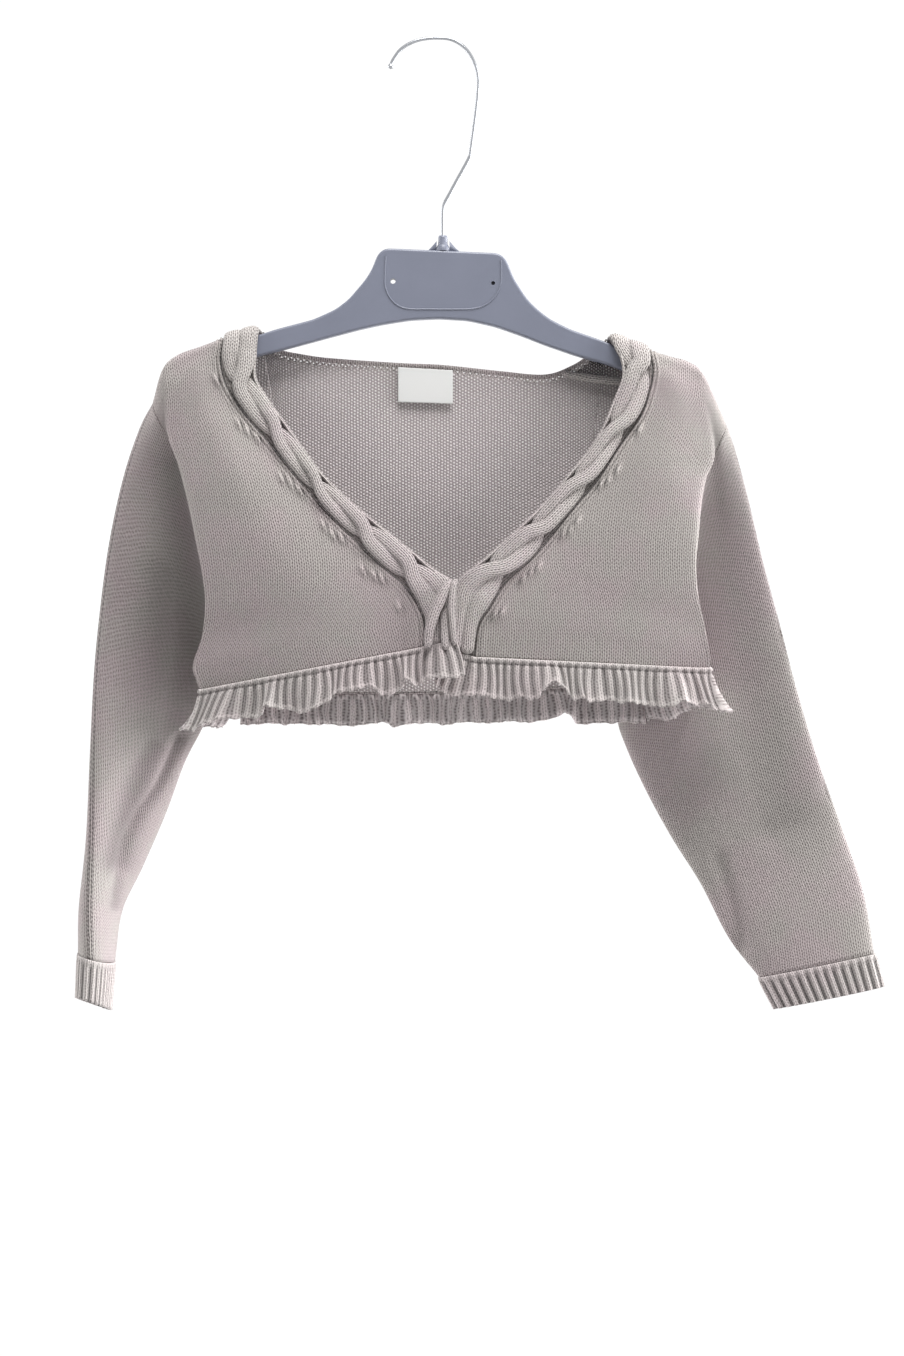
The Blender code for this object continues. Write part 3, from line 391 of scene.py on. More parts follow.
SIDE_RIGHT = (
    (149.5, 0, -188.2, 161.8, 0, -215), (149.9, -4.6, -190, 161.4, -3.4, -216.4),
    (150, -6.8, -195, 160.4, -6, -219.6), (150.6, -8.8, -206, 158, -7.4, -224.6),
    (154.6, -10.4, -232, 153.4, -6.6, -235), (150, -12.2, -245.4, 148.4, -7.4, -248),
    (147.2, -14, -260.4, 145, -8.2, -262.6), (145.6, -15.4, -277.2, 143.4, -8.4, -279.4),
    (144.2, -15.6, -292.4, 141.2, -7, -295), (144.6, -14.4, -309.2, 139.6, -2.6, -313.2),
    (145.6, -12, -325.8, 116.4, 12.6, -339.4), (147.8, -11, -338.8, 116.4, 14, -346.6),
    (149, -10, -346, 116.4, 14.6, -352.8), (149, -9, -351.6, 116.4, 15, -358.4),
)
FRONT_STEPS = np.concatenate([np.linspace(0, 2, 91), np.linspace(2, 4, 51)[1:]])
BELLY = 5.5
TURN_IN = 5.5
TURN_OUT = 4.5
TURN_LINE = 3
SHOULDER_ROWS, LOW_ROW = 4, 2
SHOULDER_IN = 8.0
SHOULDER_UP = 7.6
# Ridges and grooves beside the ditch: distance, half width, height, and shade painted on each; below 0 it is
# painted light
DITCH_RIDGES = ((1.5, 0.75, 0.9, -0.35), (2.7, 0.5, -0.3, 0.35), (3.8, 0.7, 0.6, -0.25), (0, 0.6, -0.8, 0.7))
# Fashioning marks, where two stitches are knitted as one to narrow the panel: x and z of each raised pair
MARKS = {
    "left": ((-123.2, -191.5), (-110.3, -216.7), (-105.3, -220.6), (-99.7, -225.1), (-86.2, -247),
             (-81.2, -249.8), (-76.2, -253.7), (-62.7, -273.3), (-57.7, -278.3), (-52.6, -280.6),
             (-40.9, -297.9), (-34.7, -300.7), (-30.2, -303), (-20.7, -318.1)),
    "right": ((113.1, -220.1), (100.8, -242.5), (95.8, -247.5), (91.8, -249.8), (78.4, -271),
              (74.5, -275.5), (70.6, -277.8), (56.6, -296.2), (52.6, -299), (48.2, -303),
              (36.4, -320.9), (32.5, -322.6)),
}
MARK_HALF = (1.1, 3.1)
MARK_RISE = 2.1
# Painted highlight on each mark and painted shadow beside it
MARK_LIGHT, MARK_DARK = 0.7, 1.2
MARK_SHADOW = (1.6, 0.8)
SHOULDER_LADDER = (0.9, 1.0, 2.2)
SHOULDER_REACH, SHOULDER_FADE = 24, 8
SHOULDER_DARK, SHOULDER_RUNGS = 0.35, 0.4
MARK_LEAN = 0.35
WALE = 2.6
COURSE = 1.95
WANDER, CLOUDS, FUZZ = 260.0, 24.0, 900.0
SHAKE = 0.55
UNEVEN = 0.5
HOLLOW_SHADE = 0.8
LADDER_RUNG = 2.6
LADDER_HALF = (0.25, 1.0)


def columns(names, rows):
    """A table's columns by their names."""
    return dict(zip(names, np.array(rows, float).T))


def normals(grid, towards, closed=False):
    """Unit normals of a grid of points, on the side where towards lies, or away from a tube's middle."""
    if closed:
        wide = np.concatenate([grid[:, -1:], grid, grid[:, :1]], axis=1)
        across = (wide[:, 2:] - wide[:, :-2]) / 2
    else:
        across = np.gradient(grid, axis=1)
    found = unit(np.cross(across, np.gradient(grid, axis=0)))
    out = grid - grid.mean(axis=1, keepdims=True) if towards is None else np.array(towards, float)
    return -found if np.sum(found * out) < 0 else found


def jersey(name, knit_side, shades, wale, course, rise, ladders=()):
    """Cotton jersey read from the cloth's uv: V-shaped stitches on the knit side, offset loops on the purl.

    On the knit side each wale shows two legs, with a groove between them and one at each edge, by a cosine of
    half the wale. A cosine along the wale, half a course later at its edges than in its middle, dots the
    grooves and so draws the V. On the purl side round loop heads stand in columns, every second one half a
    course lower. The grooves and the gaps between the loops take the first, dark shade: painted shade between
    the yarn. Broad noise clouds the dye, fine noise makes the yarn uneven, and the hollow attribute paints
    more shade in the grooves, on the purl side most of all between the loops; below 0 it paints light.
    Ladders are places across the cloth, in millimetres, of seam columns whose stitches stand apart and show
    dark between.
    """
    made, shader = new_material(name, {"Roughness": 0.92, "Sheen Weight": 0.2, "Sheen Roughness": 0.5,
                                       "Specular IOR Level": 0.2})

    def node(kind, inputs=(), **settings):
        """A node of this material."""
        return add_node(made, kind, inputs, **settings)

    place = node("TexCoord").outputs
    cloth, own = place["UV"], place["Object"]
    # The hollow attribute: shade painted into grooves and hollows, and light painted where it is below 0
    hollow = node("Attribute", attribute_name="hollow").outputs["Fac"]
    apart = node("SeparateXYZ", [cloth])
    for ladder in ladders:
        off = node("Math ABSOLUTE", [node("Math SUBTRACT", [apart.outputs["X"], ladder])])
        bell = node("MapRange", [off, *LADDER_HALF, 1.0, 0.0], interpolation_type="SMOOTHSTEP")
        rung = node("Math COSINE", [node("Math MULTIPLY", [apart.outputs["Y"], TURN / LADDER_RUNG])])
        hollow = node("Math MULTIPLY_ADD", [bell, node("Math MULTIPLY_ADD", [rung, 0.3, 0.6]), hollow])
    wander = node("TexNoise", {"Vector": own, "Scale": WANDER, "Detail": 2.0})
    centred = node("VectorMath SUBTRACT", [wander.outputs["Color"], (0.5, 0.5, 0.5)])
    shaken = node("VectorMath SCALE", {0: centred, "Scale": SHAKE})
    stitch = node("VectorMath MULTIPLY", [cloth, (1 / wale, 1 / course, 0)])
    part = node("SeparateXYZ", [node("VectorMath ADD", [stitch, shaken])])
    if knit_side:
        off = node("Math ABSOLUTE", [node("Math SUBTRACT", [node("Math FRACT", [part.outputs["X"]]), 0.5])])
        groove = node("Math COSINE", [node("Math MULTIPLY", [off, 2 * TURN])])
        groove = node("Math MULTIPLY_ADD", [groove, 0.5, 0.5])
        phase = node("Math ADD", [part.outputs["Y"], off])
        dots = node("Math COSINE", [node("Math MULTIPLY", [phase, TURN])])
        dots = node("Math MULTIPLY_ADD", [dots, 0.34, 0.6])
        dots = node("Math MULTIPLY", [node("Math POWER", [groove, 1.5]), dots])
        height = node("Math SUBTRACT", [1.0, dots])
    else:
        odd = node("Math PINGPONG", [node("Math FLOOR", [part.outputs["X"]]), 1.0])
        odd = node("Math MULTIPLY", [odd, 0.5])
        du = node("Math SUBTRACT", [node("Math FRACT", [part.outputs["X"]]), 0.5])
        dv = node("Math FRACT", [node("Math ADD", [part.outputs["Y"], odd])])
        dv = node("Math SUBTRACT", [dv, 0.5])
        away = node("Math ADD", [node("Math MULTIPLY", [du, du]), node("Math MULTIPLY", [dv, dv])])
        away = node("Math SQRT", [away])
        height = node("MapRange", [away, 0.1, 0.45, 1.0, 0.0], interpolation_type="SMOOTHSTEP")
    cloud = node("TexNoise", {"Vector": own, "Scale": CLOUDS, "Detail": 4.0, "Roughness": 0.6})
    dye = node("Mix", {"Factor": node("MapRange", [cloud, 0.4, 0.6]), "A": linear(shades[1]),
                       "B": linear(shades[2])}, data_type="RGBA")
    colour = node("Mix", {"Factor": height, "A": linear(shades[0]), "B": dye.outputs["Result"]},
                  data_type="RGBA")
    fuzz = node("TexNoise", {"Vector": own, "Scale": FUZZ, "Detail": 3.0, "Roughness": 0.7})
    uneven = node("Math MULTIPLY_ADD", [fuzz, UNEVEN, 1 - UNEVEN / 2])
    between_loops = node("Math MULTIPLY_ADD", [height, -0.4 if knit_side else -1.1, 1.2])
    depth = node("Math MULTIPLY", [hollow, between_loops])
    light = node("Math MULTIPLY", [uneven, node("Math MULTIPLY_ADD", [depth, -HOLLOW_SHADE, 1.0])])
    shaded = node("VectorMath SCALE", {0: colour.outputs["Result"], "Scale": light})
    relief = node("Math MULTIPLY_ADD", [fuzz, 0.3, height])
    bump = node("Bump", {"Height": relief, "Strength": 0.9, "Distance": rise * METRES})
    connect(made, shaded.outputs[0], shader.inputs["Base Color"])
    connect(made, bump.outputs["Normal"], shader.inputs["Normal"])
    return made


# Cotton jersey, reactive-dyed taupe: matt, slightly fuzzy, greyer and pinker in clouds, with painted shade in
# its grooves
jersey_face = jersey("cotton_jersey_knit_side", True, ("6A6160", "BAB4B0", "BFB2B3"), WALE, COURSE, 0.5)
# The purl side's colours are paler than the knit side's: painted light, for the light its loop heads catch
jersey_purl = jersey("cotton_jersey_purl_side", False, ("B0A6A6", "F4F0EF", "F2EBEC"), 1.69, 1.75, 0.4)


def shell(piece, thickness):
    """The cloth's thickness, laid inwards, with the purl side's material on its inner face."""
    wall = piece.modifiers.new("cloth", "SOLIDIFY")
    wall.thickness = thickness * METRES
    wall.offset = -1
    wall.use_rim = True
    wall.material_offset = 1


def level_uv(grid, column):
    """uv in millimetres where courses lie level and wales run down beside a column of the grid."""
    run = lengths(grid)[..., 0]
    return np.stack([run - run[:, column:column + 1], -grid[..., 2]], -1)


def front_lines(edge_rows, side_rows, rows):
    """Five lines down a front, from the ditch by way of the belly and the turn to the side and the end."""
    edge = columns(EDGE_COLUMNS, edge_rows)
    side = columns(SIDE_COLUMNS, side_rows)
    ditch = np.stack([edge["ditch_x"], edge["lie"], edge["ditch_z"]], 1)
    turn = np.stack([side["side_x"], side["side_y"], side["side_z"]], 1)
    end = np.stack([side["end_x"], side["end_y"], side["end_z"]], 1)
    inboard = -np.sign(turn[:, :1])
    number = np.arange(len(turn))[:, None]
    shoulder = np.clip(1 - number / SHOULDER_ROWS, 0, 1)
    low = np.clip((number - LOW_ROW) / SHOULDER_ROWS, 0, 1)
    rise = (ditch[:, 2:] - turn[:, 2:]) / np.abs(ditch[:, :1] - turn[:, :1])
    near_in = TURN_IN + (SHOULDER_IN - TURN_IN) * shoulder
    near = turn + np.concatenate(
        [inboard * near_in, -TURN_OUT * low, near_in * rise * (1 - shoulder) + SHOULDER_UP * shoulder], 1)
    belly = (ditch + near) / 2 - np.array([0, BELLY, 0]) * low
    return np.stack([smooth(line, rows) for line in (ditch, belly, near, turn, end)], 1)


class Front:
    """One front's plain surface from ditch to side, the line of its band's neck edge, and their normals."""

    def __init__(self, name, edge_rows, side_rows):
        self.name = name
        self.rows = np.linspace(0, HEM_ROW, FRONT_ROWS + 1)
        lines = front_lines(edge_rows, side_rows, self.rows)
        self.grid = np.stack([smooth(line, FRONT_STEPS) for line in lines])
        self.grid[0, :, 1] -= SEAM_GAP / 2
        self.ditch = self.grid[:, 0]
        self.end = self.grid[:, -1]
        edge = columns(EDGE_COLUMNS, edge_rows)
        self.neck = smooth(np.stack([edge["neck_x"], edge["lie"], edge["neck_z"]], 1), self.rows)
        self.normal = normals(self.grid, (0, -1, 0))
        across = unit(self.neck - self.ditch)
        face = unit(np.cross(np.gradient(self.ditch, axis=0), across))
        self.face = np.where(face[:, 1:2] > 0, -face, face)

    def uv(self):
        """Stitches that run down beside the side's turn."""
        return level_uv(self.grid, int(np.argmin(np.abs(FRONT_STEPS - TURN_LINE))))

    def relief(self):
        """Height over the plain surface, and the painted shade (hollow): ridges beside the ditch and a small
        hill at each mark.

        A ridge or groove is a bell curve across the distance from the ditch; the ridges take painted light
        and the grooves painted shade. A mark is a bell in the front's plane, longer up and down, leaning with
        the ditch, with a painted highlight on it and painted shade beside it, on its side towards the middle.
        At the shoulder a cosine of the height makes a ladder beside the ditch.
        """
        run = lengths(self.grid)[..., 0]
        rise, hollow = np.zeros(run.shape), np.zeros(run.shape)
        for middle, width, height, dark in DITCH_RIDGES:
            bell = np.exp(-((run - middle) / width) ** 2)
            rise += height * bell
            hollow += dark * bell
        lean = MARK_LEAN if self.name == "left" else -MARK_LEAN
        for mark_x, mark_z in MARKS[self.name]:
            dz = self.grid[..., 2] - mark_z
            dx = self.grid[..., 0] - mark_x + lean * dz
            bell = np.exp(-(dx / MARK_HALF[0]) ** 2 - (dz / MARK_HALF[1]) ** 2)
            inward = np.sign(mark_x) * MARK_SHADOW[0]
            rise += MARK_RISE * bell
            hollow -= MARK_LIGHT * bell
            hollow += MARK_DARK * np.exp(-((dx + inward) / MARK_SHADOW[1]) ** 2 - (dz / MARK_HALF[1]) ** 2)
        at, half, rung = SHOULDER_LADDER
        high = np.clip((self.grid[..., 2] - self.grid[0, 0, 2] + SHOULDER_REACH) / SHOULDER_FADE, 0, 1)
        rungs = SHOULDER_DARK + SHOULDER_RUNGS * np.cos(TURN * self.grid[..., 2] / rung)
        hollow += high * np.exp(-((run - at) / half) ** 2) * rungs
        return rise, hollow


fronts = {"left": Front("left", EDGE_LEFT, SIDE_LEFT), "right": Front("right", EDGE_RIGHT, SIDE_RIGHT)}
for front_name, front in fronts.items():
    front_rise, front_hollow = front.relief()
    front_points = front.grid + front.normal * front_rise[..., None]
    front_panel = add_grid("jersey_front_" + front_name, front_points, front.uv(), [jersey_face, jersey_purl],
                           front.normal, hollow=front_hollow)
    shell(front_panel, KNIT)
    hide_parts("front_" + front_name)
    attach(front_panel, "root")

# ----------------------------------------------------------------------------------------------------
# Cable bands. Each is knitted with its front: on a sunk ground of purl stitches, two fat strands of jersey
# change places about every 36 mm, both bands with the same twist. A fine rolled cord finishes the edge.
BAND_SECTIONS = 210
BAND_POINTS = 17
BAND_SINK = 0.5
LADDER_PITCH = 1.7
CABLE_CROSSINGS = {
    "left": ((-106.4, -190.4), (-91.3, -221.2), (-66.6, -250.3), (-39.8, -276.1), (-13.4, -296.8)),
    "right": ((112, -184.2), (101.4, -217.8), (81.8, -248.6), (55.4, -275.5), (34.2, -297.9)),
}
CABLE_TURN = 34.0
CABLE_OVER = {"left": 1, "right": -1}
STRAND_SNAP = 1.9
STRAND_SWING = 0.225
STRAND_HALF = 0.25
STRAND_DEPTH = 1.75
STRAND_BED = 1.3
STRAND_LIFT = 1.3
STRAND_SIDES = 28
STRAND_SECTIONS = 360
STRAND_END = 3.5
STRAND_SQUARE = 0.8
STRAND_LIGHT, STRAND_DARK, STRAND_SHADE = -0.2, 0.6, 0.4
CORD_RADIUS, CORD_IN, CORD_UP = 0.95, 0.6, 0.5
BAND_DARK = 0.3
FORWARD = (0, -1.0, 0)


def cable_phase(middle, run, crossings):
    """Phase of the cable's turn at each section: a quarter turn at the first crossing, then half a turn each.

    Before the first crossing and after the last one the strands run side by side.
    """
    at = []
    for x, z in crossings:
        at.append(run[np.argmin(np.hypot(middle[:, 0] - x, middle[:, 2] - z))])
    knots = math.pi * np.concatenate([[0], np.arange(len(at)) + 0.5, [len(at)]])
    return np.interp(run, [at[0] - CABLE_TURN / 2] + at + [at[-1] + CABLE_TURN / 2], knots)


def join(main, others):
    """Others become part of the main piece, once the modifiers of all are applied."""
    for piece in [main] + others:
        bpy.context.view_layer.objects.active = piece
        for modifier in list(piece.modifiers):
            bpy.ops.object.modifier_apply(modifier=modifier.name)
    with bpy.context.temp_override(active_object=main, selected_editable_objects=[main] + others):
        bpy.ops.object.join()


def strand(name, path, face, half_width, half_depth):
    """A soft strand along path: flat oval sections, wider than they are deep, that close to a round end.

    The section's wide axis is square to the strand's own run and to face, its other axis is square to both.
    """
    run = distance(path)
    ahead = unit(np.gradient(path, axis=0))
    wide = unit(np.cross(ahead, face))
    up = unit(np.cross(wide, ahead))
    up = np.where(np.sum(up * face, axis=1, keepdims=True) < 0, -up, up)
    turn = TURN * np.arange(STRAND_SIDES) / STRAND_SIDES - math.pi / 2
    end = np.minimum(run, run[-1] - run) / STRAND_END
    taper = np.sqrt(np.clip(1 - (1 - np.clip(end, 0, 1)) ** 2, 0.02, 1))[:, None]
    half_width = np.broadcast_to(half_width, len(path))[:, None]
    across = np.sign(np.cos(turn)) * np.abs(np.cos(turn)) ** STRAND_SQUARE * half_width * taper
    rise = np.sin(turn) * half_depth * taper
    points = path[:, None] + wide[:, None] * across[..., None] + up[:, None] * rise[..., None]
    # Painted shade on the strand's low sides, where it dips to the ground, and painted light on its top
    low = 1 - rise / (half_depth * taper)
    hollow = np.clip(STRAND_LIGHT + STRAND_SHADE * low, STRAND_LIGHT, STRAND_DARK)
    return add_grid(name, points, lengths(points, True), [cable_face], points - path[:, None], True,
                    hollow=hollow)


# The same jersey on the raised strands, stretched over them, so its stitches stand further apart; it is drawn
# lighter than the plain jersey: painted light on the raised strands
cable_face = jersey("cotton_jersey_cable", True, ("6E6564", "CFC9C5", "D3C7C8"), 2.4, 1.95, 0.9)

cable_bands = {}
for band_name, front in fronts.items():
    at = np.linspace(0, FRONT_ROWS, BAND_SECTIONS)
    ditch, neck, face = smooth(front.ditch, at), smooth(front.neck, at), unit(smooth(front.face, at))
    ditch = ditch + unit(neck - ditch) * SEAM_GAP
    q = np.linspace(0, 1, BAND_POINTS)[None, :]
    base = ditch[:, None] * (1 - q[..., None]) + neck[:, None] * q[..., None]
    middle_line = base[:, BAND_POINTS // 2]
    run = distance(middle_line)
    width = np.linalg.norm(neck - ditch, axis=1)
    band_uv = np.stack(np.broadcast_arrays((q - 0.5) * width[:, None], run[:, None]), -1)
    band_points = base - face[:, None] * (BAND_SINK * np.sin(math.pi * q) ** 0.5)[..., None]
    # The sunk ground gets painted shade, darker at the rungs of its purl ladders
    rungs = 0.5 + 0.5 * np.sin(TURN * run / LADDER_PITCH / 2)[:, None]
    band = add_grid("cable_band_" + band_name, band_points, band_uv, [jersey_face, jersey_purl],
                    np.broadcast_to(face[:, None], base.shape), hollow=BAND_DARK + BAND_DARK * rungs)
    shell(band, KNIT)
    cable_bands[band_name] = (base, face, band)
    strands = []
    phase = cable_phase(middle_line, run, CABLE_CROSSINGS[band_name])
    fine = np.linspace(0, BAND_SECTIONS - 1, STRAND_SECTIONS)
    middle, across, up = smooth(middle_line, fine), unit(smooth(neck - ditch, fine)), unit(smooth(face, fine))
    wide, turn = smooth(width, fine), smooth(phase, fine)
    for strand_name, sign in (("a", 1), ("b", -1)):
        swing = sign * np.tanh(STRAND_SNAP * np.cos(turn)) / math.tanh(STRAND_SNAP)
        lift = STRAND_BED + STRAND_LIFT * CABLE_OVER[band_name] * sign * np.sin(turn)
        path = middle + across * (swing * STRAND_SWING * wide)[:, None] + up * lift[:, None]
        strands.append(strand("strand_" + strand_name, path, up, STRAND_HALF * wide, STRAND_DEPTH))
    cord_path = smooth(neck, fine) - across * CORD_IN + up * CORD_UP
    strands.append(strand("cord", cord_path, up, CORD_RADIUS, CORD_RADIUS))
    join(band, strands)

# Foot of the left band: the rolled selvedge turns down at the point of the V, and a light strand beside it
# runs down and outwards over the ends of the cable. Each row is x, y, z and the strand's half width.
FOOT_SECTIONS = 90
FOOT_DEPTH = 1.6
FOOT_WIDE = (
    (7.4, -30.4, -303.6, 2), (4.6, -32, -308, 2.7), (2.2, -32.6, -313.6, 3), (-0.6, -32.6, -319.8, 3),
    (-2.8, -32.4, -326, 2.9), (-4.4, -31.6, -333, 2.7), (-5.2, -30.4, -341, 2.5),
)
FOOT_NARROW = (
    (11, -29.2, -302.6, 1.4), (9.4, -31.4, -306, 1.8), (8.3, -32.2, -314, 1.9), (8.1, -32.2, -322, 1.8),
    (8.8, -31.6, -330.4, 1.7), (9.8, -30.4, -339.4, 1.6),
)
FOOT_TUCK = (
    (4.6, -28.8, -318, 1.4), (4.2, -29.6, -323, 2.2), (4.4, -30.2, -329, 2.4), (4.6, -30.4, -336, 2.3),
    (4.8, -30, -342, 2.1),
)
foot_strands = []
for foot_rows in (FOOT_WIDE, FOOT_NARROW, FOOT_TUCK):
    foot = curve(foot_rows, FOOT_SECTIONS)
    foot_strands.append(strand("foot", foot[:, :3], FORWARD, foot[:, 3], FOOT_DEPTH))
join(cable_bands["left"][2], foot_strands)
for band_name, (base, face, band) in cable_bands.items():
    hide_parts("band_" + band_name)
    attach(band, "root")

# ----------------------------------------------------------------------------------------------------
# Back. One panel of the same jersey from shoulder to hem; its purl side faces the neck opening. It hangs
# nearly flat from the hanger's arms and from the folded edging along the back neck.
NECK = (
    (-97.6, 6.2, -163.2), (-94, 7, -168), (-88, 7.6, -172.8), (-76.7, 8.2, -175.3), (-60, 8.8, -177.6),
    (-20.7, 9.4, -180.3), (3.4, 9.6, -181.4), (35.3, 9.4, -184.8), (60.5, 8.8, -186.8), (76, 8.2, -181.6),
    (86, 7.6, -175), (91.6, 7, -171.2), (95, 6.2, -167.2),
)
EDGING_DEPTH = 2.8
EDGING_END = 0.15
EDGING_TAPER = 14.0
BACK_TOP = 9.0
BACK_FOOT = 16.0
BACK_FOOT_Z = -364.6
ROLL = 1.3
ARM_REACH = 0.26
ARM_EDGE_TOP = 8.0
ARM_EDGE_SLOPE = 4.6
ARM_EDGE_TURN = 3.0
UNDERARM_HOLLOW = 0.75
BACK_COLUMNS = 8
PANEL_STRIDE = 8
LINK_GAP = 1.4
LINK_PITCH = 3.6
LINK_RADIUS = 0.75
# Painted light and shade on the back: middle x and z, half width, half height, and how much shade is painted
# between the loops there; where the number is negative, light is painted there instead
PAINTED_LIGHT_PATCHES = (
    (-78, -190, 28, 14, -0.3), (92, -180, 14, 6, 1),
)


def edging_foot(line):
    """The lower edge of the neck edging under points of its top, drawn in to nothing at both ends."""
    ends = np.array([NECK[0], NECK[-1]], float)[:, None]
    reach = np.linalg.norm(line[None] - ends, axis=2).min(axis=0)
    foot = line.copy()
    foot[:, 2] -= EDGING_DEPTH * (EDGING_END + (1 - EDGING_END) * np.clip(reach / EDGING_TAPER, 0, 1))
    return foot


class Back:
    """The back panel's surface: a straight fall from shoulders and neck to the hem, between the armholes."""

    def __init__(self, left, right):
        self.rows = left.rows
        ends = [left.end, right.end]
        fall = [(end[0, 2] - end[:, 2]) / (end[0, 2] - end[-1, 2]) for end in ends]
        share = (fall[0] + fall[1])[:, None, None] / 2
        under = edging_foot(np.array(NECK, float)) - np.array([0, 0, LINK_GAP])
        pieces = []
        for front in (left, right):
            panel = front.grid[0, ::-1][::PANEL_STRIDE]
            pieces.append(np.concatenate([panel, [(front.grid[0, 0] + front.neck[0]) / 2, front.neck[0]]]))
        top = np.concatenate([pieces[0], under, pieces[1][::-1]])
        fine = np.linspace(0, len(top) - 1, (len(top) - 1) * BACK_COLUMNS // 2 + 1)
        shoulder = (fine <= len(pieces[0]) - 1) | (fine >= len(top) - len(pieces[1]))
        top = smooth(top, fine)
        top[shoulder, 1] = SEAM_GAP / 2
        place = (top[:, 0] - top[0, 0]) / (top[-1, 0] - top[0, 0])
        bow = np.sin(math.pi * np.clip(place, 0, 1))
        foot = np.stack([
            left.end[-1, 0] + place * (right.end[-1, 0] - left.end[-1, 0]),
            left.end[-1, 1] + (BACK_FOOT - left.end[-1, 1]) * bow,
            left.end[-1, 2] + place * (right.end[-1, 2] - left.end[-1, 2])
            + (BACK_FOOT_Z - (left.end[-1, 2] + right.end[-1, 2]) / 2) * bow,
        ], 1)
        grid = top[None] * (1 - share) + foot[None] * share
        depth = share[..., 0] * (top[None, :, 2] - foot[None, :, 2])
        stand = BACK_TOP + (foot[None, :, 1] - BACK_TOP) * share[..., 0]
        grid[..., 1] = top[None, :, 1] + (stand - top[None, :, 1]) * (1 - np.exp(-depth / ROLL))
        for front, reach in ((left, place), (right, 1 - place)):
            want = front.end.copy()
            arm = self.rows < ARM_ROW
            behind = ARM_EDGE_TOP + ARM_EDGE_SLOPE * self.rows / ARM_ROW
            behind = behind * np.clip(self.rows / ARM_EDGE_TURN, 0, 1)
            want[:, 1] = np.where(arm, behind, want[:, 1])
            hollow = 1 - UNDERARM_HOLLOW * (self.rows / ARM_ROW) ** 3
            want[:, 0] = np.where(arm, want[-1, 0] + (want[:, 0] - want[-1, 0]) * hollow, want[:, 0])
            want[:, 0] += np.where(arm, 0, np.sign(-front.end[0, 0]) * SEAM_GAP)
            column = 0 if front is left else -1
            near = np.clip(1 - reach / ARM_REACH, 0, 1) ** 2
            grid = grid + (want - grid[:, column])[:, None] * near[None, :, None]
        self.grid = grid
        self.normal = normals(grid, (0, 1, 0))

    def uv(self):
        """Stitches that run down from the middle of the neck."""
        return level_uv(self.grid, self.grid.shape[1] // 2)

    def shade(self):
        """Painted light and painted shade beside the hanger's arms: bells across the front view."""
        shade = np.zeros(self.grid.shape[:2])
        for x, z, half_x, half_z, dark in PAINTED_LIGHT_PATCHES:
            off = ((self.grid[..., 0] - x) / half_x) ** 2 + ((self.grid[..., 2] - z) / half_z) ** 2
            shade += dark * np.exp(-off)
        return shade


back = Back(fronts["left"], fronts["right"])
back_panel = add_grid("jersey_back", back.grid, back.uv(), [jersey_face, jersey_purl], back.normal,
                      hollow=back.shade())
shell(back_panel, KNIT)
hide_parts("back")
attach(back_panel, "root")

# ----------------------------------------------------------------------------------------------------
# Neck edging. A narrow strip of the same jersey, folded over the back neck and linked on, with the row of
# linking loops just under it.
EDGING_CLOTH = 1.9
EDGING_BEND = 2.9
EDGING_WALL = 0.6
EDGING_SECTIONS, EDGING_STEPS = 320, 21
LINK_SECTIONS, LINK_INSET = 900, 0.35
ROLL_SECTIONS, ROLL_DEPTH = 90, 1.2
SHOULDER_ROLL = (
    (69.5, 7, -185.6, 1.4), (75.5, 6.2, -187.2, 2), (83, 5.8, -188.6, 2.3), (91, 5, -189.8, 2.4),
    (99, 4.2, -190.8, 2.3), (106, 3.4, -191.8, 2.1),
)
neck_foot = edging_foot(np.array(NECK, float))
edging_top, edging_low = curve(NECK, EDGING_SECTIONS), curve(neck_foot, EDGING_SECTIONS)
# The strip's section is a bend: up from the foot behind the cloth, over the top and down in front
edging_turn = np.linspace(-EDGING_BEND, EDGING_BEND, EDGING_STEPS)
edging_middle, edging_reach = (edging_top + edging_low) / 2, (edging_top - edging_low) / 2
edging_points = (edging_middle[:, None] + edging_reach[:, None] * np.cos(edging_turn)[None, :, None]
                 + np.array([0, 1.0, 0]) * (EDGING_CLOTH / 2 * np.sin(edging_turn))[None, :, None]
                 - np.array([0, EDGING_CLOTH / 2, 0]))
edging = add_grid("neck_edging", edging_points, lengths(edging_points)[..., ::-1],
                  [jersey_face, jersey_face], edging_points - edging_middle[:, None])
shell(edging, EDGING_WALL)
# The linking thread goes up and down between the edging's foot and the panel's top, with eyelets between
link_line = smooth(neck_foot, np.linspace(LINK_INSET, len(NECK) - 1 - LINK_INSET, LINK_SECTIONS))
link_wave = np.cos(TURN * distance(link_line) / LINK_PITCH)
link_line[:, 2] += -LINK_GAP / 2 + (LINK_GAP / 2 + LINK_RADIUS / 2) * link_wave
link_line[:, 1] -= EDGING_CLOTH / 2
link = strand("link", link_line, FORWARD, LINK_RADIUS, LINK_RADIUS)
# At the right the back's turned shoulder allowance shows as a soft roll below the edging
roll_line = curve(SHOULDER_ROLL, ROLL_SECTIONS)
roll = strand("roll", roll_line[:, :3], FORWARD, roll_line[:, 3], ROLL_DEPTH)
join(edging, [link, roll])
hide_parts("back_neck_edging")
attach(edging, "root")

# ----------------------------------------------------------------------------------------------------
# Label. A woven satin label with folded ends, left bare and sewn by its top into the neck edging. Below
# that it hangs free, with a slight bow.
LABEL_X = (-22.0, 8.8)
LABEL_TOP = (-182.8, -184.6)
LABEL_FOOT = (-202.4, -203.4)
LABEL_CLOTH = 0.6
LABEL_Y, LABEL_BOW, LABEL_CURL = 6.7, 0.35, 0.25
LABEL_STEPS = (41, 31)


def between(start, end, share):
    """Share of the way from start to end."""
    return start + (end - start) * share


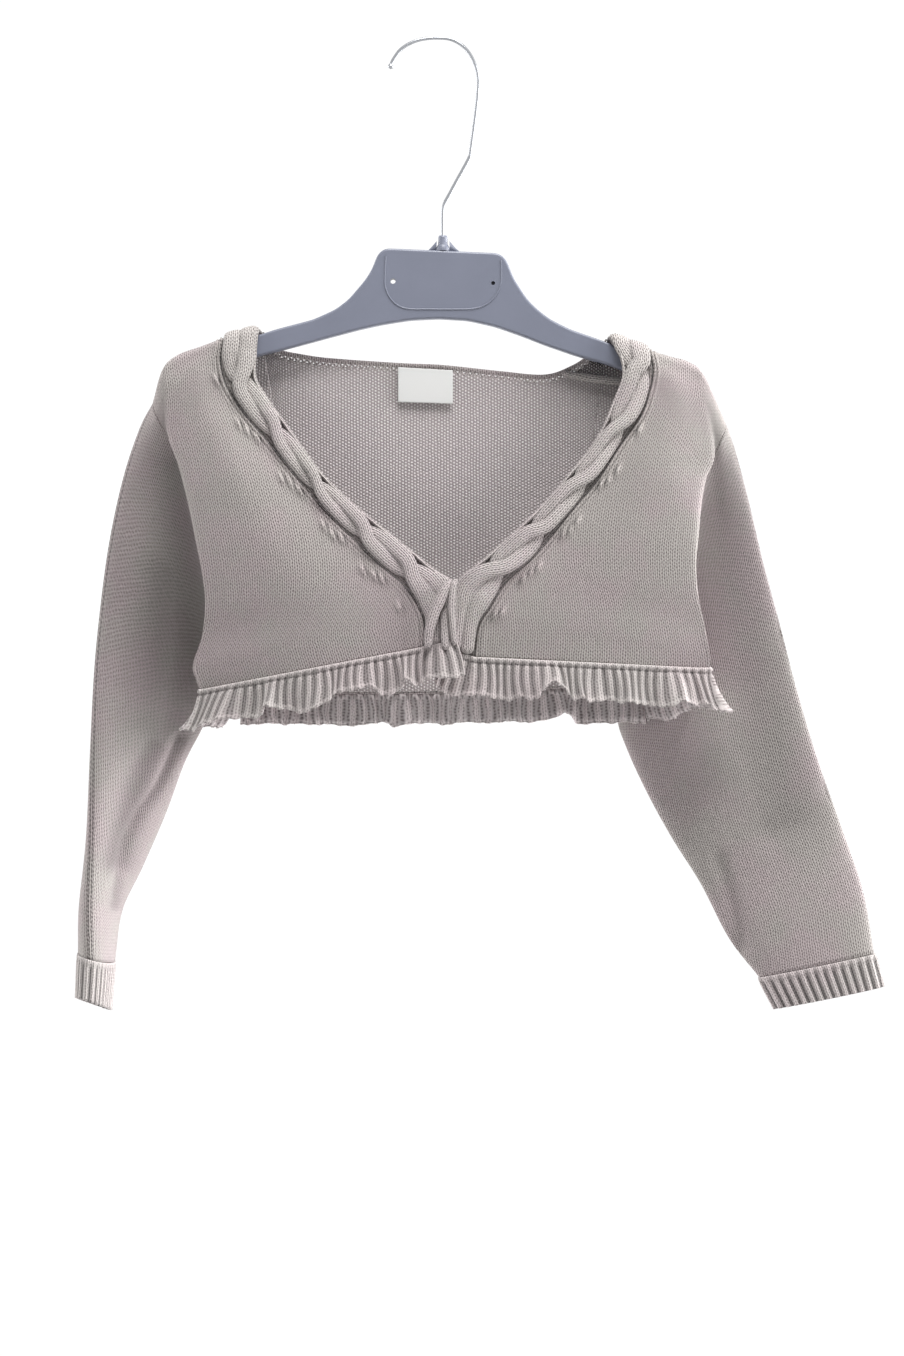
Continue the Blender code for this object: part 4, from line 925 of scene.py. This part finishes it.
# Woven satin, undyed: white with a soft sheen, and a brick pattern for the weave's fine relief
satin, satin_shader = new_material("woven_white_satin", {
    "Base Color": linear("EAEAE8"), "Roughness": 0.6, "Sheen Weight": 0.2, "Sheen Roughness": 0.4})
satin_place = add_node(satin, "TexCoord")
satin_scale = add_node(satin, "VectorMath MULTIPLY", [satin_place.outputs["UV"], (2.2, 3.0, 1.0)])
satin_weave = add_node(satin, "TexBrick", {
    "Vector": satin_scale, "Scale": 1.0, "Mortar Size": 0.12, "Mortar Smooth": 0.6,
    "Color1": (1, 1, 1, 1), "Color2": (0.8, 0.8, 0.8, 1), "Mortar": (0.3, 0.3, 0.3, 1)})
satin_bump = add_node(satin, "Bump", {
    "Height": satin_weave, "Strength": 0.3, "Distance": 0.0002})
connect(satin, satin_bump.outputs["Normal"], satin_shader.inputs["Normal"])

label_s, label_t = np.meshgrid(*(np.linspace(0, 1, count) for count in LABEL_STEPS))
label_x = between(*LABEL_X, label_s)
label_z = between(between(*LABEL_TOP, label_s), between(*LABEL_FOOT, label_s), label_t)
label_y = LABEL_Y - LABEL_BOW * np.sin(math.pi * label_t) - LABEL_CURL * np.sin(math.pi * label_s) * label_t
label_points = np.stack([label_x, label_y, label_z], -1)
label = add_grid("woven_label", label_points, np.stack([label_x, label_z], -1), [satin],
                 np.broadcast_to(np.array([0, -1.0, 0]), label_points.shape))
label_wall = label.modifiers.new("cloth", "SOLIDIFY")
label_wall.thickness = LABEL_CLOTH * METRES
label_wall.offset = 1
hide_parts("label")
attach(label, "root")

# ----------------------------------------------------------------------------------------------------
# Hems. Ribbed ruffles linked under the fronts and the back: rounded knit ribs with narrow purl valleys
# between them, more stitches at the free edge than at the seam, so the edge stands in small waves and curls.
RIB_PITCH = 4.9
BACK_RIB_PITCH = 6.3
RIB_RISE = 1.6
HEM_ROWS = 28
RIB_STEPS = 10
HEM_COLUMNS = ("seam_x", "lean", "drop", "out")
HEM_LEFT = (
    (-134, -6.7, 22.4, 5), (-129.4, -7.8, 22.4, 5), (-121.5, -6.7, 21.6, 2.5), (-112, -5, 21, 4),
    (-105.3, -3.4, 21, 1.5), (-98, -1.7, 21.3, 2), (-92.4, -1, 16.8, 6.5), (-86.2, 0.6, 19.6, 3),
    (-76.7, 0.6, 23, 1), (-66.6, 0, 23, 3.5), (-59.9, 0, 19.6, 5.5), (-51.5, 0.6, 16.8, 3),
    (-42.6, 0, 15.7, 1.5), (-33, 0.6, 20.2, 3.5), (-25.2, 1.1, 21.8, 2.5), (-18.5, 0.6, 17.4, 5),
    (-10.6, 0, 20.7, 2), (-7.3, 0, 19, 3), (-3.9, 0.6, 18, 4), (0.6, 1.7, 20, 4.5), (5, 3.4, 21, 4),
    (11.2, 5, 18.5, 3),
)
HEM_RIGHT = (
    (6.2, -5.6, 20, 1), (11.8, -6.2, 23, 1), (16.8, -5, 23, 1.5), (20.7, -2.2, 22.4, 2.5),
    (25.2, 0.6, 22.4, 2), (35.3, 1.1, 22.4, 1), (44.2, 1.1, 21.6, 3), (53.2, 1.7, 21.8, 3.5),
    (59.4, 1.1, 16, 6.5), (63.3, 1.7, 12.6, 7.5), (68.9, 1.1, 18.2, 4), (76.7, 1.1, 20.2, 1.5),
    (85.7, 1.1, 20.4, 3), (94.6, 1.1, 21.3, 1.5), (103.6, 1.7, 22.4, 3.5), (119.3, 1.7, 22.4, 2),
    (127.1, 1.7, 23.6, 6.5), (133, 3, 19.5, 8.5), (138.5, 4, 21.5, 3), (144.5, 5, 21, 6), (149, 5.6, 24, 7),
)
HEM_BACK = (
    (-111.4, -1, 21, 2), (-84, 0, 18.6, -1), (-60, 0.5, 19.4, 2), (-34, 0, 18.4, -1), (-6, 0.5, 19.2, 2.5),
    (22, 0, 18.8, -1), (46, 0.5, 19.6, 2), (62, 1, 19.4, 0.5), (68, 2.5, 15.6, 3), (74, 0.5, 15.8, 3),
    (80, 0, 21.6, 0.5), (98, 0.5, 22.4, 2), (116.4, 2, 25, 1),
)
RUFFLE_WAVE = 26.0
RUFFLE_SWAY = 1.7
RIB_BEND = (1.5, 37.0)
RIB_SCALLOP = 0.5
RIB_UNEVEN = 0.9
WELT_END = {"left": (-11.0, -5.0), "right": (9.0, 5.0), "back": (200.0, 220.0)}
RUFFLE_START = {"left": 0.6, "right": 2.1, "back": 1.3}
# Welt bead and the slot under it: middle, width, height and the shade painted there
WELT = ((1.3, 1.2, 1, 0), (3.3, 0.7, -0.6, 0.6))
EDGE_ROLL = (1.0, 1.0)
# The rolled free edge clears part of the painted shade and takes a little painted highlight
EDGE_RISE, EDGE_CLEAR, EDGE_LIGHT = 0.8, 0.8, 0.05
LINK_STITCH = 3.6
LINK_DARK = 1.2
RIB_BROAD, RIB_ROUND = 0.55, 0.6
RIB_START, HEM_GROWTH = 0.3, 3
# Painted shade in the rib valleys (dark, power) and painted light on the ribs
HEM_VALLEY = (0.62, 1.4, 0.1)
VALLEY_START = 6
BEND_REACH = 0.8
LEAN_GROWTH, RUFFLE_GROWTH, SCALLOP_GROWTH = 1.4, 1.3, 6
RIB_STITCHES, RIB_STITCH = 3, 1.55
HEM_LAP = (3, 6, 12)

# Two by two rib in the same cotton: its stitches are drawn narrow, both faces look alike, and it is drawn
# lighter than the plain jersey: painted light
rib_face = jersey("cotton_rib", True, ("8B8281", "CBC5C2", "CEC3C3"), 2.3, 1.8, 0.4)
# The rib's inside is the purl side, seen at the back hem, drawn paler: painted light as on the jersey's purl
# side
rib_inside = jersey("cotton_rib_inside", True, ("9C9090", "E6DEDE", "E8DDDE"), 2.3, 1.8, 0.4)


def level(vectors):
    """The same directions with no rise."""
    flat = vectors.copy()
    flat[..., 2] = 0
    return unit(flat)


def along(line, count):
    """Points at even distances along a line of chords, and their distance from its start."""
    run = distance(line[:, :3])
    at = np.linspace(0, run[-1], count)
    return np.stack([np.interp(at, run, line[:, k]) for k in range(line.shape[1])], 1), at


def rib_height(turn):
    """Height of a rib, 0 to 1, over its turn: a broad round top and a narrow valley."""
    return np.clip((np.cos(turn) + RIB_BROAD) / (1 + RIB_BROAD), 0, 1) ** RIB_ROUND


def rib_shade(rib, f, dark, power, light):
    """Painted shade in the valleys, by a power of their depth, from a little below the seam; painted light on
    the ribs.
    """
    return dark * (1 - rib) ** power * np.clip(f * VALLEY_START, 0, 1) - light * rib


def hem(name, top, face, rows, phase, pitch=RIB_PITCH):
    """A ribbed ruffle under the line top, whose foot leans, drops and stands out by the table's rows.

    Ribs are raised along face by the rib's profile, with painted shade in the valleys and painted light on
    the ribs. The sway is a sine of the distance along the hem, and grows with the distance below the seam; a
    second sine bends groups of ribs sideways. Each rib drops and leans a little differently, by chance. A
    bell at the seam makes the welt and the slots beneath it, with painted shade in the slots, and a cosine
    across the slots the linking stitches. A bell at the free edge makes its small roll, which clears the
    painted shade and takes a painted highlight.
    """
    ribs = int(round(distance(top)[-1] / pitch))
    line, run = along(np.concatenate([top, face], 1), RIB_STEPS * ribs + 1)
    place, out = line[:, :3], level(line[:, 3:])
    value = columns(HEM_COLUMNS, rows)
    row = np.interp(place[:, 0], value["seam_x"], np.arange(len(rows)))
    lean, drop, stand = (smooth(value[key], row) for key in ("lean", "drop", "out"))
    uneven = np.random.default_rng(ribs).normal(0, 1, (2, ribs + 1))
    drop = drop + RIB_UNEVEN * smooth(uneven[0], run / run[-1] * ribs)
    lean = lean + RIB_UNEVEN * smooth(uneven[1], run / run[-1] * ribs)
    welt_from, welt_to = WELT_END[name.split("_")[-1]]
    welt = 1 - np.clip((place[:, 0] - welt_from) / (welt_to - welt_from), 0, 1)
    f = np.linspace(0, 1, HEM_ROWS)[:, None]
    wave = RUFFLE_SWAY * np.sin(TURN * run / RUFFLE_WAVE + phase)
    rib = rib_height(TURN * ribs * run / run[-1])
    rise = RIB_RISE * rib * np.clip(RIB_START + f * HEM_GROWTH, 0, 1)
    # Painted shade in the valleys and painted light on the ribs
    hollow = rib_shade(rib, f, *HEM_VALLEY)
    stitches = 0.5 + 0.5 * np.cos(TURN * run / LINK_STITCH)
    for middle, width, height, dark in WELT:
        bell = np.exp(-((drop * f - middle) / width) ** 2) * welt
        rise = rise + height * bell
        hollow = hollow * (1 - bell) + dark * bell * LINK_DARK * stitches
    # The rolled edge: painted shade cleared and a painted highlight added
    edge = np.exp(-((drop * (1 - f) - EDGE_ROLL[0]) / EDGE_ROLL[1]) ** 2)
    rise = rise + EDGE_RISE * edge
    hollow = hollow * (1 - EDGE_CLEAR * edge) - EDGE_LIGHT * edge
    bend = RIB_BEND[0] * np.sin(TURN * run / RIB_BEND[1] + 2 * phase)
    sway = (wave + stand) * f ** RUFFLE_GROWTH + rise
    aside = lean * f ** LEAN_GROWTH + bend * np.sin(math.pi * f * BEND_REACH)
    depth = drop * f + RIB_SCALLOP * (rib - 0.5) * f ** SCALLOP_GROWTH
    points = place[None] + out[None] * sway[..., None]
    points[..., 0] += aside
    points[..., 2] -= depth
    uv = np.stack(np.broadcast_arrays(run / pitch * RIB_STITCHES * RIB_STITCH, drop * f), -1)
    made = add_grid("ribbed_hem_" + name, points, uv, [rib_face, rib_inside],
                    np.broadcast_to(out[None], points.shape), hollow=hollow)
    shell(made, KNIT)
    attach(made, "root")
    return made, run[-1]


for hem_name, hem_rows in (("left", HEM_LEFT), ("right", HEM_RIGHT)):
    front = fronts[hem_name]
    base, face, band = cable_bands[hem_name]
    seam = np.concatenate([base[-1, ::-1], front.grid[-1, 1:]])
    seam_face = np.concatenate([np.repeat(face[-1:], BAND_POINTS, axis=0), front.normal[-1, 1:]])
    if hem_name == "left":
        lap_depth, lap_x, lap_half = HEM_LAP
        seam[:, 1] -= lap_depth * np.exp(-((seam[:, 0] - lap_x) / lap_half) ** 2)
    front_hem, hem_length = hem("front_" + hem_name, seam, seam_face, hem_rows, RUFFLE_START[hem_name])
    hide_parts("hem_front_" + hem_name)
back_hem, hem_length = hem("back", back.grid[-1], back.normal[-1], HEM_BACK, RUFFLE_START["back"],
                           BACK_RIB_PITCH)
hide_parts("hem_back")

# ----------------------------------------------------------------------------------------------------
# Sleeves. Long tubes of jersey, linked into the armholes and hanging behind the body. The left one is
# twisted, so that its folds face forwards and back; the right one lies flat and slants outwards.
SLEEVE_COLUMNS = ("out_x", "out_y", "out_z", "in_x", "in_y", "in_z", "half")
SLEEVE_LEFT = (
    (-161.8, 1, -207.8, -112.6, 21, -342.7, 8.5), (-168, 3, -219.5, -115.4, 25, -350.6, 8),
    (-176.4, 5.6, -244.7, -121.5, 27.5, -364, 7.5), (-183.7, 7, -278.3, -127.1, 28, -374.1, 8),
    (-188.7, 9, -312.5, -135, 30, -389.2, 9), (-192.6, 8, -352.8, -143.9, 34, -406, 10),
    (-194.3, 3, -400.4, -155.1, 40, -434, 10.8), (-194.6, -4, -445.2, -169.7, 44, -463.7, 10.5),
    (-195.4, -10, -484.4, -184.2, 46, -488.3, 10), (-194.6, -12, -513.5, -189.4, 44, -515.2, 9.8),
)
SLEEVE_RIGHT = (
    (164.6, 1, -221.8, 115.9, 21, -342.7, 8.5), (169.1, 3, -235.2, 112.3, 26, -349.4, 7.5),
    (175.8, 6, -260.4, 105.2, 28, -364, 7), (183.1, 9, -291.2, 101.9, 27, -379.7, 7),
    (192.6, 12, -325.9, 107, 26, -396.5, 8), (202.7, 14, -364, 118.2, 24, -421.1, 8),
    (214.5, 15, -403.2, 132.2, 22, -446.9, 8), (229, 16, -444.1, 149, 20, -473.8, 8),
    (240.2, 16, -477.7, 164.6, 19, -504, 8), (246.4, 16, -512.4, 181.4, 18, -525.8, 8),
)
ARMHOLE_TUCK = (-0.2, -0.5)
FIRST_STEP = (1.2, -0.15)
ARMHOLE_FADE = 4.0
EVEN_RINGS = 0.65
SLEEVE_RINGS = 140
SLEEVE_SIDES = 104
RING_SPREAD = 1.15
FACING, SHADE_REACH = 1.6, 0.9
SEAM_LADDERS = (0.9, 3.1)
# Soft folds of the sleeves, pressed in from the front: x and z along each, its depth, its half width and how
# much shade is painted along it; broad ones paint the shade on the sleeve beside and behind the body
CREASES = {
    "left": (
        (((-153, -300), (-157, -340), (-159, -369.6), (-162, -396)), 0.8, 16, 0.45),
        (((-160, -396), (-166, -411.6), (-171.5, -428.4), (-176, -445.2), (-179, -460)), 1.6, 8, 0.65),
        (((-145, -392), (-151.2, -406), (-158.5, -420.6), (-168, -434), (-174.2, -449.1), (-177, -462),
          (-179.8, -477.7), (-181, -486)), 2.4, 2.8, 0.4),
        (((-144, -240), (-141, -290), (-140, -340), (-148, -385)), 1.5, 16, 0.5),
    ),
    "right": (
        (((159, -458.6), (165.2, -478.8), (170.2, -498.4), (171.4, -509)), 2, 4.2, 0.12),
        (((196, -330), (186, -352), (170, -368)), 1, 9, 0.05),
        (((150, -270), (149, -310), (146, -350)), 1.4, 12, 0.25),
        (((160, -240), (172, -310), (184, -370), (198, -430)), 0.5, 24, 0.4),
        (((222, -420), (208, -438), (188, -446)), 1.2, 7, 0.05),
    ),
}


def press(points, out, creases):
    """Depth and painted shade of the creases at each point: bells over the distance to a line in the front
    view.

    The distance is the least one to the segments of the fold line. Only faces turned to the front move, and
    only those not turned to the back take the painted shade.
    """
    facing = np.clip(-out[..., 1] * FACING, 0, 1)
    depth, painted_shade = np.zeros(points.shape[:2]), np.zeros(points.shape[:2])
    for line, deep, half, dark in creases:
        ends = np.array(line)
        near = np.full(points.shape[:2], 1e9)
        for a, b in zip(ends[:-1], ends[1:]):
            (x, z), (run_x, run_z) = (points[..., 0] - a[0], points[..., 2] - a[1]), b - a
            share = np.clip((x * run_x + z * run_z) / np.sum((b - a) ** 2), 0, 1)
            near = np.minimum(near, np.hypot(x - share * run_x, z - share * run_z))
        bell = np.exp(-(near / half) ** 2)
        depth += deep * bell
        painted_shade = np.maximum(painted_shade, dark * bell)
    return depth * facing, painted_shade * np.clip(SHADE_REACH - out[..., 1] * FACING, 0, 1)


# The left sleeve's seam lies near its outer fold and shows as two dark columns
jersey_seamed = jersey("cotton_jersey_seamed", True, ("6A6160", "BAB4B0", "BFB2B3"), WALE, COURSE, 0.5,
                       SEAM_LADDERS)


def armhole(front, back, column):
    """The loop of edge points round an armhole, and the way out of the panels there.

    It runs from the shoulder down the front's edge to the underarm and up the back's edge.
    """
    half = SLEEVE_SIDES // 2
    at = np.linspace(0, ARM_ROW / HEM_ROW * FRONT_ROWS, half + 1)
    loops = []
    for panel, edge, inside in ((front, -1, -2), (back, column, 1 if column == 0 else -2)):
        line, normal = smooth(panel.grid[:, edge], at), smooth(panel.normal[:, edge], at)
        away = np.cross(unit(np.gradient(line, axis=0)), normal)
        inward = smooth(panel.grid[:, inside], at) - line
        away = np.where(np.sum(away * inward, axis=1, keepdims=True) > 0, -away, away)
        loops.append(np.stack([line, unit(away), unit(normal)]))
    ahead, behind = loops
    top, foot = (ahead[:, :1] + behind[:, :1]) / 2, (ahead[:, -1:] + behind[:, -1:]) / 2
    loop = np.concatenate([top, ahead[:, 1:-1], foot, behind[:, -2:0:-1]], axis=1)
    loop[1:] = unit(loop[1:])
    loop[1, half] = (0, 0, 1.0)
    return loop


def sleeve_rings(rows, angle):
    """Flattened rings between the outer and the inner fold, bulged by half the thickness."""
    value = columns(SLEEVE_COLUMNS, rows)
    out = np.stack([value["out_x"], value["out_y"], value["out_z"]], 1)
    fold = np.stack([value["in_x"], value["in_y"], value["in_z"]], 1)
    middle, reach = (out + fold) / 2, (out - fold) / 2
    square = np.stack([-reach[:, 2], 0 * reach[:, 0], reach[:, 0]], 1)
    side = unit(np.cross(unit(reach), unit(square)))
    side = np.where(side[:, 1:2] < 0, side, -side)
    return (middle[:, None] + np.cos(angle)[None, :, None] * reach[:, None]
            + np.sin(angle)[None, :, None] * (side * value["half"][:, None])[:, None])


def sleeve(name, table, loop):
    """A tube from the armhole loop, whose shape fades into flat rings, to the cuff seam."""
    edge, away, normal = loop
    count, half = len(edge), len(edge) // 2
    run = distance(np.concatenate([edge, edge[:1]]))
    measured = np.concatenate([
        math.pi * run[:half] / run[half],
        math.pi + math.pi * (run[half:count] - run[half]) / (run[count] - run[half]),
    ])
    angle = (1 - EVEN_RINGS) * measured + EVEN_RINGS * TURN * np.arange(count) / count
    at = np.linspace(0, 1, SLEEVE_RINGS) ** RING_SPREAD * (len(table) - 1)
    plain = sleeve_rings(smooth(table, at), angle)
    first = edge + away * ARMHOLE_TUCK[0] + normal * ARMHOLE_TUCK[1]
    second = edge + away * FIRST_STEP[0] + normal * FIRST_STEP[1]
    fade = np.clip(1 - at / ARMHOLE_FADE, 0, 1)[:, None, None] ** 2
    rings = np.concatenate([first[None], plain + (second - plain[0])[None] * fade])
    rings = np.roll(rings, half, axis=1)
    out = normals(rings, None, closed=True)
    # The creases' depth, and the shade painted along them
    pressed, painted_shade = press(rings, out, CREASES[name])
    uv = lengths(rings, True)
    uv[..., 0] -= uv[:, half:half + 1, 0]
    rings = rings - out * pressed[..., None]
    face = jersey_seamed if name == "left" else jersey_face
    made = add_grid("jersey_sleeve_" + name, rings, uv, [face, jersey_purl], out, True, painted_shade)
    shell(made, KNIT)
    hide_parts("sleeve_" + name)
    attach(made, "root")
    return rings[-1], out[-1], unit(rings[-1].mean(axis=0) - rings[-3].mean(axis=0))


# ----------------------------------------------------------------------------------------------------
# Cuffs. Bands of the same rib, linked to the sleeves' ends and a little tighter than they are. The left one
# is seen from its edge, the right one lies flat.
CUFF_DEPTH = {"left": 26.0, "right": 19.5}
CUFF_RIBS = 28
CUFF_TAPER = 0.93
CUFF_DROP = {"left": 0.12, "right": 0.0}
CUFF_ROWS = 22
CUFF_RISE = {"left": 0.8, "right": 1.3}
CUFF_GROWTH = 4
# Painted shade in the cuff's rib valleys and light on its ribs, and the shade painted in the slot under its
# welt
CUFF_VALLEY = (0.9, 2.0, 0.12)
CUFF_WELT_RISE, CUFF_WELT_DARK = 0.25, 0.6


def cuff(name, ring, normal, axis):
    """A ribbed tube that carries on from the sleeve's last ring along its axis.

    It narrows evenly to its end, and drops the more the further forward a point lies. Ribs and the welt are
    raised as in a hem, with painted shade in the valleys and the slot under the welt and painted light on the
    ribs.
    """
    both = np.concatenate([ring, normal], 1)
    line, run = along(np.concatenate([both, both[:1]]), RIB_STEPS * CUFF_RIBS + 1)
    place, out = line[:-1, :3], unit(line[:-1, 3:])
    out = unit(out - np.sum(out * axis, axis=1, keepdims=True) * axis)
    f = np.linspace(0, 1, CUFF_ROWS)[:, None]
    deep = CUFF_DEPTH[name]
    middle = ring.mean(axis=0)
    size = 1 + (CUFF_TAPER - 1) * f
    points = middle + (place - middle)[None] * size[..., None] + axis * (SEAM_GAP + deep * f)[..., None]
    points[..., 2] -= CUFF_DROP[name] * f * (place[:, 1] - middle[1])
    rib = rib_height(TURN * CUFF_RIBS * run[:-1] / run[-1])
    rise = CUFF_RISE[name] * rib * np.clip(RIB_START + f * CUFF_GROWTH, 0, 1)
    hollow = rib_shade(rib, f, *CUFF_VALLEY)
    for centre, bell_width, height, dark in WELT:
        bell = np.exp(-((deep * f - centre) / bell_width) ** 2)
        rise = rise + CUFF_WELT_RISE * height * bell
        hollow = hollow * (1 - bell) + dark * bell * CUFF_WELT_DARK
    points = points + out[None] * rise[..., None]
    uv = np.stack(np.broadcast_arrays(run / RIB_PITCH * RIB_STITCHES * RIB_STITCH, deep * f), -1)
    made = add_grid("ribbed_cuff_" + name, points, uv, [rib_face, rib_face],
                    np.broadcast_to(out[None], points.shape), True, hollow=hollow)
    shell(made, KNIT)
    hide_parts("cuff_" + name)
    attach(made, "root")


for arm_name, arm_table, arm_column in (("left", SLEEVE_LEFT, 0), ("right", SLEEVE_RIGHT, -1)):
    arm_ring, arm_normal, arm_axis = sleeve(arm_name, arm_table, armhole(fronts[arm_name], back, arm_column))
    cuff(arm_name, arm_ring, arm_normal, arm_axis)

# ----------------------------------------------------------------------------------------------------
# Studio. A white paper floor well under the hanging garment, a white surround that is overexposed to plain
# white, five soft boxes, and a camera level with the garment's middle.
FLOOR_Z = -1.2
FLOOR_SIZE = 3.0
MIDDLE = (0.0084, -0.010, -0.3573)
DISTANCE = 2.2
FRAME_HEIGHT = 0.7556
LIGHTS = (
    ("top", (0.2, -0.65, 1.3), (1, 0.8), 38), ("far_right", (1.9, -0.6, 0.2), (0.8, 1.2), 25),
    ("far_left", (-1.7, -1, -0.2), (0.8, 1.2), 6), ("rim_left", (-1.5, 0.5, -0.3), (0.8, 1.8), 24),
    ("rim_right", (1.5, 0.5, -0.3), (0.8, 1.8), 42),
)
SURROUND, GLOW = 0.07, 1.05
SENSOR = 36.0

# White paper: matt, so that the floor shows only where the garment's soft shadow falls
paper, paper_shader = new_material("white_paper_floor", {"Base Color": linear("F2F2F2"), "Roughness": 0.9})
floor_mesh = bpy.data.meshes.new("floor")
floor_edge = FLOOR_SIZE / 2
floor_corners = [(x * floor_edge, y * floor_edge, FLOOR_Z) for x, y in ((-1, -1), (1, -1), (1, 1), (-1, 1))]
floor_mesh.from_pydata(floor_corners, [], [(0, 1, 2, 3)])
floor_mesh.materials.append(paper)
floor = put("floor", floor_mesh)

for light_name, light_place, light_size, light_power in LIGHTS:
    lamp = bpy.data.lights.new(light_name, "AREA")
    lamp.shape, lamp.size, lamp.size_y, lamp.energy = "RECTANGLE", light_size[0], light_size[1], light_power
    light = put(light_name, lamp)
    light.location = light_place
    aim = np.array(MIDDLE) - np.array(light_place)
    light.rotation_euler = (
        math.acos(-aim[2] / np.linalg.norm(aim)), 0.0, math.atan2(aim[1], aim[0]) - math.pi / 2)

world = bpy.data.worlds.new("white_surround")
bpy.context.scene.world = world
world.use_nodes = True
backdrop = world.node_tree.nodes["Background"]
backdrop.inputs["Color"].default_value = (1.0, 1.0, 1.0, 1.0)
# The backdrop is overexposed to plain white, also where wire and plastic mirror it; as a light it is dimmer
ray = add_node(world, "LightPath")
seen = add_node(world, "Math MAXIMUM", [ray.outputs["Is Camera Ray"], ray.outputs["Is Glossy Ray"]])
glow = add_node(world, "MapRange", {0: seen, 3: SURROUND, 4: GLOW})
connect(world, glow.outputs[0], backdrop.inputs["Strength"])

camera_data = bpy.data.cameras.new("camera")
camera_data.sensor_width = SENSOR
camera_data.lens = SENSOR * DISTANCE / FRAME_HEIGHT
camera = put("camera", camera_data)
camera.location = (MIDDLE[0], MIDDLE[1] - DISTANCE, MIDDLE[2])
camera.rotation_euler = (math.pi / 2, 0, 0)
bpy.context.scene.camera = camera
bpy.context.scene.view_settings.view_transform = "Standard"
